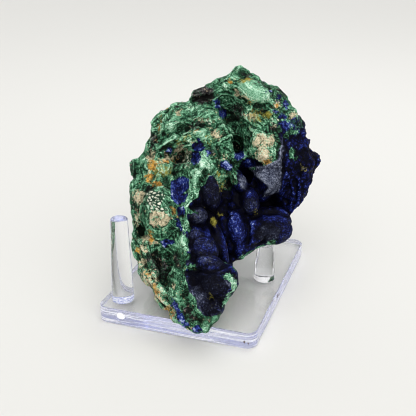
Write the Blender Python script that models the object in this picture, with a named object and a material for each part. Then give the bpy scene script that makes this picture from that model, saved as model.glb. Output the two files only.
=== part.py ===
"""Azurite and malachite specimen on a clear acrylic three-peg stand.

World frame: metres, +Z up, origin at the centre of the stand plate's underside.
Run with blender --background --python part.py, or from Blender's text editor.
"""

import math

import bmesh
import bpy
from mathutils import Matrix, Vector, noise

MM = 0.001
GAP = 0.3 * MM  # air left between pieces that touch

# Stand: a 3 in x 4 in plate with two tall pegs on its left side and a short one on its right.
PLATE_WIDTH = 76.2 * MM
PLATE_DEPTH = 101.6 * MM
PLATE_THICKNESS = 8.0 * MM
PLATE_CORNER_RADIUS = 5.0 * MM
CORNER_STEP = 15  # degrees between the points of a rounded corner
PLATE_EDGE_BEVEL = 0.5 * MM
PEG_INSET = 9.3 * MM  # from the plate's edges to a peg's axis
PEG_FOOT_RADIUS = 5.3 * MM
PEG_TIP_RADIUS = 3.9 * MM
PEG_RIM_BEVEL = 0.35 * MM
PEG_SIDES = 28
TALL_PEG_HEIGHT = 41.5 * MM
SHORT_PEG_HEIGHT = 18.7 * MM
PEG_X = PLATE_WIDTH / 2 - PEG_INSET
PEG_Y = PLATE_DEPTH / 2 - PEG_INSET
PEGS = {
    "tall_peg_front": (-PEG_X, -PEG_Y, TALL_PEG_HEIGHT),
    "tall_peg_back": (-PEG_X, PEG_Y, TALL_PEG_HEIGHT),
    "short_peg": (PEG_X, 0.0, SHORT_PEG_HEIGHT),
}

# Stone: how it stands in the stand, and how finely it is made.
STONE_ORIGIN = Vector((1.0, -6.0, 45.0)) * MM
STONE_TURN = 19.0  # degrees about the vertical
STONE_LEAN = 22.6  # degrees backwards
SEAT_GAP = 0.45 * MM  # above the plate and the pegs' tips, before the facets are made fewer
PEG_ROOM = 0.8 * MM  # round a peg, before the facets are made fewer
SEAT_DEPTH = 3.0 * MM  # a place this far below a peg's tip is still seated on the tip
BODY_VOXEL = 1.4 * MM
STONE_VOXEL = 1.0 * MM
STONE_TRIANGLES = 8600
SECTION_POINTS = 40
FRONT_SQUARENESS = 0.72  # 1 is an ellipse, and less is squarer

# Rough growth of the rock, in mm: the size of each kind of unevenness and its height.
SWELL_SIZE, SWELL_HEIGHT = 24.0, 2.2
CRAG_SIZE, CRAG_HEIGHT = 17.0, 1.5
LEDGE_SPACING, LEDGE_HEIGHT = 7.0, 3.4
LEDGE_DIRECTION = Vector((0.30, 0.85, 0.35))
LEDGE_WAVE_SIZE, LEDGE_WAVE = 13.0, 5.0
KNOB_SIZE, KNOB_HEIGHT = 6.0, 2.6

# The tables below are in the stone's own frame, in mm: right, up, and out of its display
# face. Each section of the body, from its peak down to its foot, gives its height, its left
# edge and that edge's depth, its right edge and that edge's depth, its back, its front, and
# how far right the front stands furthest out.
SECTIONS = (
    (68, 13, -6, 17, -6, -12, 0, 15),
    (65, 9.5, -5, 21.5, -6, -16, 2, 15),
    (60.5, 4, -3, 32, -7, -22, 4, 16),
    (57, -6, -1, 37, -8, -28, 5, 15),
    (51.5, -9, 0, 39.5, -9, -33, 6, 13),
    (48.5, -18, 0, 41.5, -9, -35, 7, 11),
    (44, -27, 0, 47.5, -10, -38, 8, 6),
    (34, -29.5, 0, 51, -11, -42, 9, -8),
    (26, -31.4, 1, 53, -12, -44, 11, -14),
    (20, -33, 3, 54, -12, -44, 14, -15),
    (12, -35, 6, 51.5, -12, -43, 17, -15),
    (4, -36, 8, 48, -12, -41, 20, -14),
    (-4, -35, 9, 42, -11, -38, 22, -14),
    (-11, -36.5, 10, 40, -8, -34, 23, -14),
    (-17, -35.5, 11, 32, -6, -30, 24, -13),
    (-22, -33.5, 13, 20, -2, -26, 26, -10),
    (-27, -31.5, 15, 11, 12, -21, 31, -5),
    (-34, -29, 18, 12.5, 27, -9, 37, 0),
    (-40, -23, 21, 10, 30, 4, 40, -3),
    (-44.5, -20, 24, 7.3, 32, 14, 41, -4),
    (-48.7, -17, 27, 3.5, 34, 24, 41, -5),
    (-51.6, -13, 31, 1.6, 35, 31, 40, -6),
    (-53.4, -9, 34, -0.5, 36, 35, 39, -5),
)

# Swells and hollows of the display face: centre, radii, turn in degrees and height.
FACE_RELIEF = {
    "groove below the peak": ((12.6, 43), (4, 12), 20, -11),
    "hole under the groove": ((14.4, 30), (3, 4), 0, -10),
    "cavity left of the tongue": ((22, 12), (6, 11), 25, -17),
    "cavity under the tongue": ((29, 1), (9, 6), 0, -17),
    "azurite hollow": ((8, 2), (13, 17), 0, -9),
    "hollow's lower end": ((10, -16), (8, 9), 0, -8),
    "right rough wall": ((40, 5), (9, 16), -15, -10),
    "pit behind the rim": ((-12, 24), (5, 5), 30, -9),
    "pit on the left flank": ((-31, -11), (3, 4), 0, -6),
    "crevice beside the foot": ((-20, -29), (2.5, 8), 18, -8),
    "rim, top": ((-4, 16), (4, 7), -20, 6),
    "rim, upper": ((-8, 3), (3, 9), 0, 6),
    "rim, middle": ((-10, -9), (3.5, 7), 15, 6),
    "rim, lower": ((-9, -22), (4, 8), -10, 5),
    "domed nodule": ((-23, -1), (8, 11), 10, 6),
    "knob above the tongue": ((27, 27), (8, 9), 10, 4),
    "shoulder": ((-17, 40), (9, 5), 20, 3),
    "step under the shoulder": ((-18, 14), (8, 4), 25, -4),
}

# Lumps: centre, radii, and turn in degrees about the out axis. Those of the body take on
# its rough surface, and those of azurite stay smooth and rounded.
BODY_LUMPS = {
    "left knob": ((-34.2, 20, 2), (5, 5.2, 6), 0),
    "ledge left of the peak": ((-2, 53, -4), (6.5, 4.5, 7), 15),
    "dome beside the peak": ((23, 57, -6), (8, 5.5, 7), -22),
    "end of that dome": ((33, 56, -8), (5, 4.5, 6.5), -35),
    "knob above the tongue": ((27, 28, -1), (6.5, 7, 8), 10),
    "right shoulder": ((44, 39.5, -10), (6, 5.5, 7), 20),
    "right side, upper": ((46.5, 31, -9), (6, 6.5, 7), 0),
    "right side, lower": ((40, 18, -9), (4.5, 5.5, 6), -15),
    "right side, foot": ((43, 6, -9), (5, 8, 7), -28),
    "right corner": ((53, 24.2, -12), (4.2, 5.4, 5.5), 0),
    "lump behind the lobe": ((38, -12, -8), (4, 5, 6), 0),
    "swell that leans on the tall back peg": ((-14, 22, -30), (14, 15, 16.4), 0),
    "toe": ((-8, -49, 36), (4.5, 4, 4), 0),
    "small toe": ((-2.5, -50, 37), (3, 3.5, 3.5), 0),
}
AZURITE_LUMPS = {
    "tall lump by the rim": ((0.7, 5.3, 15), (5.2, 8.5, 9), 0),
    "lump behind the rim": ((-5.5, 4, 16), (3.5, 4.5, 6), 0),
    "round lump by the rim": ((-5, -4, 18), (4.8, 4.7, 8), 0),
    "round lump below it": ((-6.7, -12, 18), (5, 4.5, 8), 0),
    "long ridge": ((5, -13.6, 13), (2.6, 12, 8), 18),
    "broad blue ridge": ((12.7, -10.5, 9), (4.5, 11.5, 9), 5),
    "ridge beside it": ((18, -15, 4), (3.5, 8, 6), 5),
    "middle lump": ((19.5, 4.5, 3), (5, 7, 8), 10),
    "small lump under the hole": ((14, 13, 8), (3.6, 4.6, 6), 0),
    "broad dark lump": ((-2, -19, 19), (9, 10, 11), 0),
    "tongue": ((28, 14.5, 2), (6, 9, 8), -25),
    "tip of the tongue": ((24.5, 8.5, 1), (3, 5, 5), -30),
    "lobe over the short peg": ((29, -7.5, 0), (12, 8, 10), 12),
    "dome on the foot": ((3, -33, 29), (10, 10, 12), 0),
    "lower dome on the foot": ((-3, -41, 31), (7, 8, 9), 0),
    "side of the foot's dome": ((10, -32, 26), (4, 7, 7), 0),
    "bead above the dome": ((10.8, -29.3, 24), (3, 3, 4), 0),
}


def clear_scene():
    for obj in list(bpy.data.objects):
        bpy.data.objects.remove(obj)


def add_object(name, mesh_data):
    obj = bpy.data.objects.new(name, mesh_data)
    bpy.context.scene.collection.objects.link(obj)
    return obj


def object_from(form, name):
    """The bmesh as a new object's mesh."""
    mesh_data = bpy.data.meshes.new(name)
    form.to_mesh(mesh_data)
    form.free()
    return add_object(name, mesh_data)


def with_modifiers_applied(obj):
    """A new object of the same name, whose mesh has the modifiers' result."""
    graph = bpy.context.evaluated_depsgraph_get()
    mesh_data = bpy.data.meshes.new_from_object(obj.evaluated_get(graph))
    name = obj.name
    bpy.data.objects.remove(obj)
    return add_object(name, mesh_data)


def fused(form, name, voxel):
    """The bmesh's overlapping closed shapes as one surface."""
    obj = object_from(form, name)
    remesh = obj.modifiers.new("fuse", "REMESH")
    remesh.mode = "VOXEL"
    remesh.voxel_size = voxel
    return with_modifiers_applied(obj)


def principled(name, colour, roughness, transmission=0.0, ior=1.5):
    made = bpy.data.materials.new(name)
    made.use_nodes = True
    shader = made.node_tree.nodes["Principled BSDF"]
    shader.inputs["Base Color"].default_value = (*colour, 1.0)
    shader.inputs["Roughness"].default_value = roughness
    shader.inputs["Transmission Weight"].default_value = transmission
    shader.inputs["IOR"].default_value = ior
    return made


def bevel_edges(obj, width):
    bevel = obj.modifiers.new("polished edge", "BEVEL")
    bevel.width = width
    bevel.segments = 2
    bevel.limit_method = "ANGLE"
    bevel.angle_limit = math.radians(60)


def rounded_plate_outline():
    """The plate's outline, anticlockwise round its four rounded corners."""
    half_width = PLATE_WIDTH / 2 - PLATE_CORNER_RADIUS
    half_depth = PLATE_DEPTH / 2 - PLATE_CORNER_RADIUS
    corners = ((1, 1, 0), (-1, 1, 90), (-1, -1, 180), (1, -1, 270))
    points = []
    for side_x, side_y, first in corners:
        for turned in range(0, 91, CORNER_STEP):
            angle = math.radians(first + turned)
            x = side_x * half_width + PLATE_CORNER_RADIUS * math.cos(angle)
            y = side_y * half_depth + PLATE_CORNER_RADIUS * math.sin(angle)
            points.append((x, y))
    return points


def make_plate(material):
    form = bmesh.new()
    outline = [form.verts.new((x, y, 0.0)) for x, y in rounded_plate_outline()]
    bottom = form.faces.new(outline)
    raised = bmesh.ops.extrude_face_region(form, geom=[bottom])["geom"]
    top = [item for item in raised if isinstance(item, bmesh.types.BMVert)]
    bmesh.ops.translate(form, verts=top, vec=(0, 0, PLATE_THICKNESS))
    bmesh.ops.recalc_face_normals(form, faces=form.faces)
    plate = object_from(form, "base_plate")
    bevel_edges(plate, PLATE_EDGE_BEVEL)
    plate.data.materials.append(material)


def make_peg(name, x, y, height, material):
    form = bmesh.new()
    bmesh.ops.create_cone(
        form,
        cap_ends=True,
        segments=PEG_SIDES,
        radius1=PEG_FOOT_RADIUS,
        radius2=PEG_TIP_RADIUS,
        depth=height,
    )
    bmesh.ops.translate(form, verts=form.verts, vec=(0, 0, height / 2))
    peg = object_from(form, name)
    peg.location = (x, y, PLATE_THICKNESS + GAP)
    peg.data.shade_smooth()
    peg.data.set_sharp_from_angle(angle=math.radians(50))
    bevel_edges(peg, PEG_RIM_BEVEL)
    peg.data.materials.append(material)


def section_points(section):
    """One closed ring of the body."""
    up, left, left_out, right, right_out, back, front, ridge = section
    middle = (left + right) / 2
    points = []
    for step in range(SECTION_POINTS):
        angle = 2 * math.pi * step / SECTION_POINTS
        across, depth = math.cos(angle), math.sin(angle)
        edge_out = left_out + (right_out - left_out) * (1 + across) / 2
        face_out = front if depth > 0 else back
        out = edge_out + abs(depth) ** FRONT_SQUARENESS * (face_out - edge_out)
        shift = (ridge - middle) / 2 * max(depth, 0.0) ** 2
        points.append(Vector((middle + (right - left) / 2 * across + shift, up, out)) * MM)
    return points


def add_lump(form, centre, radii, turn):
    """Adds one ellipsoid to a bmesh in the stone's frame, with out as its Z."""
    place = (
        Matrix.Translation(Vector(centre) * MM)
        @ Matrix.Rotation(math.radians(turn), 4, "Z")
        @ Matrix.Diagonal((*(Vector(radii) * MM), 1.0))
    )
    bmesh.ops.create_icosphere(form, subdivisions=3, radius=1.0, matrix=place)


def make_body():
    """The body of the stone, lofted through its sections, with its larger lumps."""
    form = bmesh.new()
    rings = [[form.verts.new(point) for point in section_points(row)] for row in SECTIONS]
    for upper, lower in zip(rings, rings[1:]):
        for step in range(SECTION_POINTS):
            after = (step + 1) % SECTION_POINTS
            form.faces.new((upper[step], upper[after], lower[after], lower[step]))
    form.faces.new(rings[0])
    form.faces.new(rings[-1])
    bmesh.ops.recalc_face_normals(form, faces=form.faces)
    for lump in BODY_LUMPS.values():
        add_lump(form, *lump)
    return fused(form, "body", BODY_VOXEL)


def face_height(place):
    """How far the display face stands out at a place, beyond the plain body."""
    height = 0.0
    for centre, radii, turn, amount in FACE_RELIEF.values():
        away = place.xy / MM - Vector(centre)
        away.rotate(Matrix.Rotation(math.radians(-turn), 2))
        height += amount * math.exp(-((away.x / radii[0]) ** 2) - (away.y / radii[1]) ** 2)
    return height * MM


def ledge_height(at):
    """Overlapping ledges: a slow rise and a steep drop, in patches."""
    layer = at.dot(LEDGE_DIRECTION) + LEDGE_WAVE * noise.noise(at / LEDGE_WAVE_SIZE)
    phase = (layer / LEDGE_SPACING) % 1.0
    rise = phase if phase < 0.8 else (1.0 - phase) * 4.0
    patch = max(0.0, 0.5 + noise.noise(at / CRAG_SIZE + Vector((7, 3, 5))))
    return (rise - 0.5) * patch * LEDGE_HEIGHT


def rock_height(place):
    """Rough growth of the rock at a place: swells, crags, ledges and small knobs."""
    at = place / MM
    swell = noise.fractal(at / SWELL_SIZE, 1.0, 2.0, 2) * SWELL_HEIGHT
    crag = (noise.ridged_multi_fractal(at / CRAG_SIZE, 0.9, 2.2, 4, 1.0, 2.0) - 1.1) * CRAG_HEIGHT
    knob = (0.4 - noise.voronoi(at / KNOB_SIZE)[0][0]) * KNOB_HEIGHT
    return (swell + crag + ledge_height(at) + knob) * MM


def roughen(body):
    """Moves the body's surface by its face's relief and the rock's rough growth."""
    normals = [vert.normal.copy() for vert in body.data.vertices]
    for vert, normal in zip(body.data.vertices, normals):
        place = vert.co.copy()
        facing = min(1.0, max(0.0, normal.z * 1.6))
        vert.co.z += face_height(place) * facing
        vert.co += normal * rock_height(place)


def stone_to_world():
    """The stone's frame in the world: it leans back and is turned on its stand."""
    return (
        Matrix.Translation(STONE_ORIGIN)
        @ Matrix.Rotation(math.radians(STONE_TURN), 4, "Z")
        @ Matrix.Rotation(math.radians(-STONE_LEAN), 4, "X")
        @ Matrix.Rotation(math.radians(90), 4, "X")
    )


def settled(place):
    """A world point of the stone, moved clear of the plate and the pegs it rests on."""
    place.z = max(place.z, PLATE_THICKNESS + SEAT_GAP)
    for x, y, height in PEGS.values():
        foot = PLATE_THICKNESS + GAP
        sunk = foot + height + SEAT_GAP - place.z
        away = Vector((place.x - x, place.y - y))
        taper = (place.z - foot) / height
        radius = PEG_FOOT_RADIUS + (PEG_TIP_RADIUS - PEG_FOOT_RADIUS) * taper + PEG_ROOM
        if sunk <= 0 or away.length >= radius:
            continue
        if sunk < SEAT_DEPTH:
            place.z += sunk
        else:
            place.xy = Vector((x, y)) + away.normalized() * radius
    return place


def make_stone(material):
    body = make_body()
    roughen(body)
    form = bmesh.new()
    form.from_mesh(body.data)
    bpy.data.objects.remove(body)
    for lump in AZURITE_LUMPS.values():
        add_lump(form, *lump)
    stone = fused(form, "specimen", STONE_VOXEL)
    stone.data.transform(stone_to_world())
    for vert in stone.data.vertices:
        vert.co = settled(vert.co.copy())
    fewer = stone.modifiers.new("facets", "DECIMATE")
    fewer.ratio = STONE_TRIANGLES / (2 * len(stone.data.polygons))
    stone.data.shade_smooth()
    stone.data.materials.append(material)


def main():
    clear_scene()
    acrylic = principled("clear acrylic", (0.93, 0.94, 1.0), 0.02, 1.0, 1.49)
    make_plate(acrylic)
    for name, (x, y, height) in PEGS.items():
        make_peg(name, x, y, height, acrylic)
    make_stone(principled("azurite and malachite", (0.05, 0.12, 0.2), 0.6))


if __name__ == "__main__":
    main()
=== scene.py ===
import math

import bmesh
import bpy
import numpy as np
from mathutils import Matrix, Vector, noise
from mathutils.bvhtree import BVHTree


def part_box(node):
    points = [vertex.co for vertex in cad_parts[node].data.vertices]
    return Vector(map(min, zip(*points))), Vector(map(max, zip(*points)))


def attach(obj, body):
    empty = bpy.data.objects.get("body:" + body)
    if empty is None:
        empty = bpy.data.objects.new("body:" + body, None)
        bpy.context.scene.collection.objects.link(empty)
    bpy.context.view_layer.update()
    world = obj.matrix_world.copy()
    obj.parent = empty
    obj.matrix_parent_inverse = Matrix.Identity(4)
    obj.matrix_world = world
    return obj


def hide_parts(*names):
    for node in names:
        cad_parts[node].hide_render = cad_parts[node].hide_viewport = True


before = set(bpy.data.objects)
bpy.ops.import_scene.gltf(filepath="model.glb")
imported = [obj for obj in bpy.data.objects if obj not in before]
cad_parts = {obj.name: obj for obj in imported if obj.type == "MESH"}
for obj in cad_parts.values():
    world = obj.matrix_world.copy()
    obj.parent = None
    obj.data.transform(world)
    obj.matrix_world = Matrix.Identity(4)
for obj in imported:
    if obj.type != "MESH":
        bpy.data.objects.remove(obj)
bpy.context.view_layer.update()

mm = 0.001

# The camera. Places on the stone are given in pixels of its square frame, from the top left
# corner.
view = {
    "place": (102.8, -300.9, 175.0),  # mm
    "turn": 19.0,  # degrees to the left of +Y
    "drop": 22.65,  # degrees below the horizon
    "lens": 60.58,  # mm, as the sensor's width
    "sensor": 36.0,
    "width": 416,  # pixels
    "nearest": 0.01,  # metres
}


def viewTurn():
    return Matrix.Rotation(math.radians(view["turn"]), 3, "Z") @ Matrix.Rotation(
        math.radians(90 - view["drop"]), 3, "X"
    )


def viewReach():
    return view["lens"] / view["sensor"] * view["width"]  # focal length in pixels


def addCamera():
    data = bpy.data.cameras.new("camera")
    data.lens = view["lens"]
    data.sensor_width = view["sensor"]
    data.clip_start = view["nearest"]
    camera = bpy.data.objects.new("camera", data)
    camera.matrix_world = Matrix.Translation(Vector(view["place"]) * mm) @ viewTurn().to_4x4()
    bpy.context.scene.collection.objects.link(camera)
    bpy.context.scene.camera = camera


def surfaceUnder(tree, pixel):
    # where the line of sight through a pixel meets the surface, in mm
    half = view["width"] / 2
    aim = viewTurn() @ Vector((pixel[0] - half, half - pixel[1], -viewReach()))
    hit = tree.ray_cast(Vector(view["place"]) * mm, aim.normalized())
    if hit[0] is None:
        raise ValueError(f"no surface under pixel {pixel}")
    return np.array(hit[0]) / mm


def pixelsOf(points):
    # the pixel where the camera sees each point, points in mm
    seen = (points - np.array(view["place"])) @ np.array(viewTurn())
    return view["width"] / 2 + seen[:, :2] * (1, -1) * viewReach() / -seen[:, 2:3]


def linear(code):
    # an sRGB hex colour as the linear colour that the nodes take
    parts = [int(code[i:i + 2], 16) / 255 for i in (1, 3, 5)]
    return tuple(p / 12.92 if p <= 0.04045 else ((p + 0.055) / 1.055) ** 2.4 for p in parts) + (1,)


def addNode(tree, kind, settings=None, values=None, links=None, stops=None):
    made = tree.nodes.new("ShaderNode" + kind)
    for name, value in (settings or {}).items():
        setattr(made, name, value)
    for name, value in (values or {}).items():
        made.inputs[name].default_value = value
    for name, socket in (links or {}).items():
        tree.links.new(socket, made.inputs[name])
    if stops:
        ramp = made.color_ramp.elements
        while len(ramp) < len(stops):
            ramp.new(1.0)
        for element, (position, colour) in zip(ramp, stops):
            element.position = position
            element.color = linear(colour)
    return made


def newMaterial(name):
    made = bpy.data.materials.new(name)
    made.use_nodes = True
    made.node_tree.nodes.clear()
    return made, made.node_tree


def addObject(name, mesh):
    made = bpy.data.objects.new(name, mesh)
    bpy.context.scene.collection.objects.link(made)
    return made


def objectOf(form, name):
    mesh = bpy.data.meshes.new(name)
    form.to_mesh(mesh)
    form.free()
    return addObject(name, mesh)


def applied(obj):
    # the object with its modifiers' result as its mesh
    graph = bpy.context.evaluated_depsgraph_get()
    mesh = bpy.data.meshes.new_from_object(obj.evaluated_get(graph))
    name = obj.name
    bpy.data.objects.remove(obj)
    return addObject(name, mesh)


def placesOf(mesh):
    flat = np.empty(len(mesh.vertices) * 3, np.float32)
    mesh.vertices.foreach_get("co", flat)
    return flat.reshape(-1, 3).astype(np.float64) / mm


def setPlaces(mesh, points):
    mesh.vertices.foreach_set("co", (points * mm).astype(np.float32).ravel())
    mesh.update()


def normalsOf(mesh):
    flat = np.empty(len(mesh.vertices) * 3, np.float32)
    mesh.vertex_normals.foreach_get("vector", flat)
    return flat.reshape(-1, 3).astype(np.float64)


stone = {
    "middle": (1.0, -6.0, 45.0),  # mm, the middle of its display face
    "turn": 19.0,  # degrees about the vertical
    "lean": 22.6,  # degrees backwards
    "softVoxel": 0.8,  # mm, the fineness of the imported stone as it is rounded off
    "softPasses": 3,
    "voxel": 0.58,  # mm, the fineness of the finished surface
    "passes": 1,  # of smoothing
    "smoothing": 0.5,  # of each pass
    "lumpCuts": 4,  # subdivisions of a lump's sphere
    "keptFaces": 0.71,  # share of the triangles kept, the flattest places losing most
    "pegRoom": 0.25,  # mm kept clear of the stand
    "tipReach": 2.5,  # mm from a peg's tip in which the stone is lifted off it, not moved aside
    "seenShare": 1.6,  # over 1, so that a place just behind what is seen still counts in full
    "seenFade": 3.0,  # mm in which it stops counting
    "fullFacing": 0.5,  # cosine to the view from which a mark has its full height
}

# Rounded azurite growths: pixel of the middle, half width and half height across the line of
# sight, turn in degrees, half depth and how far the middle is sunk under the surface, in mm.
azuriteLumps = {
    "tall lump by the rim": ((210.5, 192), (4.9, 8.2), 8, 7.0, 4.8),
    "lump behind the rim": ((197, 197), (2.9, 4.4), 0, 4.0, 2.8),
    "round lump by the rim": ((196.5, 216), (5.0, 4.2), 0, 5.5, 3.7),
    "round lump below it": ((193, 235), (5.2, 4.5), 0, 5.5, 3.7),
    "broad rough lump": ((204, 252), (6.6, 7.6), 16, 7.5, 5.4),
    "foot of the broad lump": ((210, 264), (6.4, 3.6), -14, 5.0, 3.6),
    "long ridge": ((221, 245), (2.6, 9.6), 16, 4.8, 2.8),
    "ridge between": ((227.5, 234), (3.3, 9.6), 15, 5.2, 3.3),
    "bright ridge": ((236, 229), (4.2, 8.4), 9, 6.2, 3.8),
    "foot of the bright ridge": ((239, 248), (3.4, 6.0), 6, 5.0, 3.2),
    "middle lump": ((249.5, 201), (4.9, 6.8), 6, 6.4, 4.0),
    "small lump under the hole": ((240.5, 183), (3.4, 4.9), 18, 4.6, 2.7),
    "bead beside the tall lump": ((228, 196), (2.2, 2.6), 0, 3.0, 2.0),
    "bead under the yellow pit": ((232, 207), (2.4, 2.8), 0, 3.0, 2.0),
    "lobe over the short peg": ((275, 232.5), (8.9, 6.2), 14, 6.5, 4.4),
    "end of the lobe": ((284, 229), (4.4, 4.6), 0, 5.0, 3.8),
    "upper dome of the foot": ((218, 286), (8.3, 6.0), 0, 7.5, 5.4),
    "left dome of the foot": ((198, 300), (5.6, 6.4), 8, 6.5, 4.6),
    "bead above the dome": ((231.5, 273), (2.8, 2.9), 0, 3.2, 2.0),
    "tip of the tongue": ((266, 195), (2.6, 4.6), -42, 4.0, 2.6),
}
# Blocks of rock that stand out of its outline, in the same form.
rockLumps = {
    "ledge left of the peak": ((196.5, 94), (3.4, 2.7), 15, 4.0, 2.8),
    "top of that ledge": ((204, 92), (5.4, 2.8), 18, 4.0, 2.6),
    "foot of that ledge": ((200, 101), (4.4, 2.0), 10, 3.6, 2.8),
    "shoulder's corner": ((161, 115), (4.6, 3.4), 40, 4.4, 3.0),
    "shoulder's left side": ((155, 126), (2.6, 5.0), 10, 4.0, 3.0),
    "shoulder's top": ((176, 108.5), (5.4, 3.4), 6, 4.4, 2.8),
    "low on the left": ((162, 302), (2.6, 5.6), 30, 4.0, 3.0),
    "under the lobe": ((261, 242), (6.6, 3.2), 26, 3.8, 2.6),
    "under the lobe, left": ((247, 250), (4.8, 2.8), 28, 3.8, 2.6),
    "left knob": ((133, 167), (2.9, 4.4), 0, 3.6, 2.6),
    "corner of the right side": ((317, 160), (2.2, 3.4), 0, 3.4, 2.6),
    "toe, right": ((205, 328), (2.8, 2.6), 0, 3.4, 2.4),
    "toe, left": ((193, 329), (2.4, 1.8), 0, 3.0, 2.0),
    "left of the pit": ((163, 152), (4.6, 1.8), 24, 2.6, 1.8),
    "over the pit": ((188, 132), (5.0, 1.6), 12, 2.4, 1.7),
    "knob in the rock": ((213, 152), (2.5, 2.9), 0, 3.2, 2.0),
    "rim's head": ((203, 166), (3.4, 4.0), 30, 3.0, 1.9),
    "peak": ((238.5, 71.5), (2.4, 3.4), 0, 3.0, 2.0),
    "dome beside the peak": ((254, 91), (8.2, 5.4), -25, 4.8, 2.8),
    "tan knob, upper": ((261, 142), (5.4, 5.6), 0, 4.6, 3.0),
    "tan knob, lower": ((264, 156), (4.4, 3.6), -15, 4.0, 2.8),
    "leaf of the toe": ((206, 323), (2.3, 3.9), -8, 2.6, 0.6),
    "leaf beside it": ((213, 318), (2.2, 3.2), -38, 2.4, 0.6),
}


def stoneFrame():
    return (
        Matrix.Rotation(math.radians(stone["turn"]), 3, "Z")
        @ Matrix.Rotation(math.radians(-stone["lean"]), 3, "X")
        @ Matrix.Rotation(math.radians(90), 3, "X")
    )


def inStone(points):
    # right, up and out of the display face, in mm
    return (points - np.array(stone["middle"])) @ np.array(stoneFrame())


def fused(form, name, voxel, passes):
    # overlapping shapes as one closed surface, evened out a little
    obj = objectOf(form, name)
    remesh = obj.modifiers.new("fuse", "REMESH")
    remesh.mode = "VOXEL"
    remesh.voxel_size = voxel * mm
    soften = obj.modifiers.new("soften", "SMOOTH")
    soften.factor = stone["smoothing"]
    soften.iterations = passes
    return applied(obj)


def softBody():
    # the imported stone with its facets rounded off
    form = bmesh.new()
    form.from_mesh(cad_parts["specimen"].data)
    return fused(form, "softStone", stone["softVoxel"], stone["softPasses"])


def treeOf(mesh):
    form = bmesh.new()
    form.from_mesh(mesh)
    tree = BVHTree.FromBMesh(form)
    form.free()
    return tree


# Hollows and swells of the rock, larger than its grain: pixel of the middle, half width and
# half height in mm, turn in degrees, and how far it stands out in mm.
rockMarks = {
    "hole beside the tan knob": ((238, 145), (1.8, 2.9), 0, -7.0),
    "groove under the peak": ((229, 114), (2.2, 6.5), 25, -4.0),
    "hole left of the peak": ((200, 99), (3.0, 1.6), 10, -2.0),
    "pit of tan crystals": ((179, 158), (1.8, 5.0), -22, -3.2),
    "hollow under the pit": ((176, 172), (2.2, 3.2), -25, -3.0),
    "velvet hollow": ((180, 190), (4.4, 7.0), 0, -2.2),
    "crack above the roundel": ((151, 187), (4.4, 1.5), 18, -2.8),
    "crack left of the roundel": ((134, 206), (1.4, 4.6), 10, -2.6),
    "hole low on the left": ((140.5, 231), (1.3, 2.2), 10, -2.4),
    "cavity left of the tongue": ((250, 181), (2.9, 8.0), 28, -5.5),
    "cavity under the tongue": ((270, 204), (5.0, 3.6), 0, -5.0),
    "gap right of the tall lump": ((227, 200), (3.0, 6.0), 0, -3.5),
    "gap under the tall lump": ((207, 212), (2.6, 1.5), 0, -3.0),
    "pit of yellow crystals": ((214, 220), (2.4, 2.0), 0, -3.0),
    "green hole": ((229, 183), (1.8, 2.8), 0, -4.0),
    "hollow of the right wall": ((291, 190), (4.0, 9.0), -12, -3.0),
    "hollow beside the shoulder": ((208, 126), (4.5, 2.2), 12, -2.0),
    "roundel": ((160, 211), (7.6, 10.0), 8, 2.6),
    "roundel's middle": ((159, 206), (3.4, 4.0), 8, 0.8),
    "tan knob": ((266, 150), (6.4, 6.8), 0, 2.2),
    "pale dome": ((254, 90), (7.6, 4.8), -25, 2.2),
    "step of the pale dome": ((258, 103), (6.0, 1.2), -15, -1.6),
    "shoulder's swell": ((168, 124), (6.0, 3.4), 28, 1.4),
    "swell over the pit": ((187, 138), (7.0, 2.2), 20, 1.6),
    "green dome of the rim": ((179, 243), (3.0, 3.6), 0, 2.0),
    "swell of the foot": ((172, 290), (2.6, 8.0), 24, 1.6),
    "left knob's right half": ((138, 166), (3.4, 4.6), 0, 1.2),
}
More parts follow.
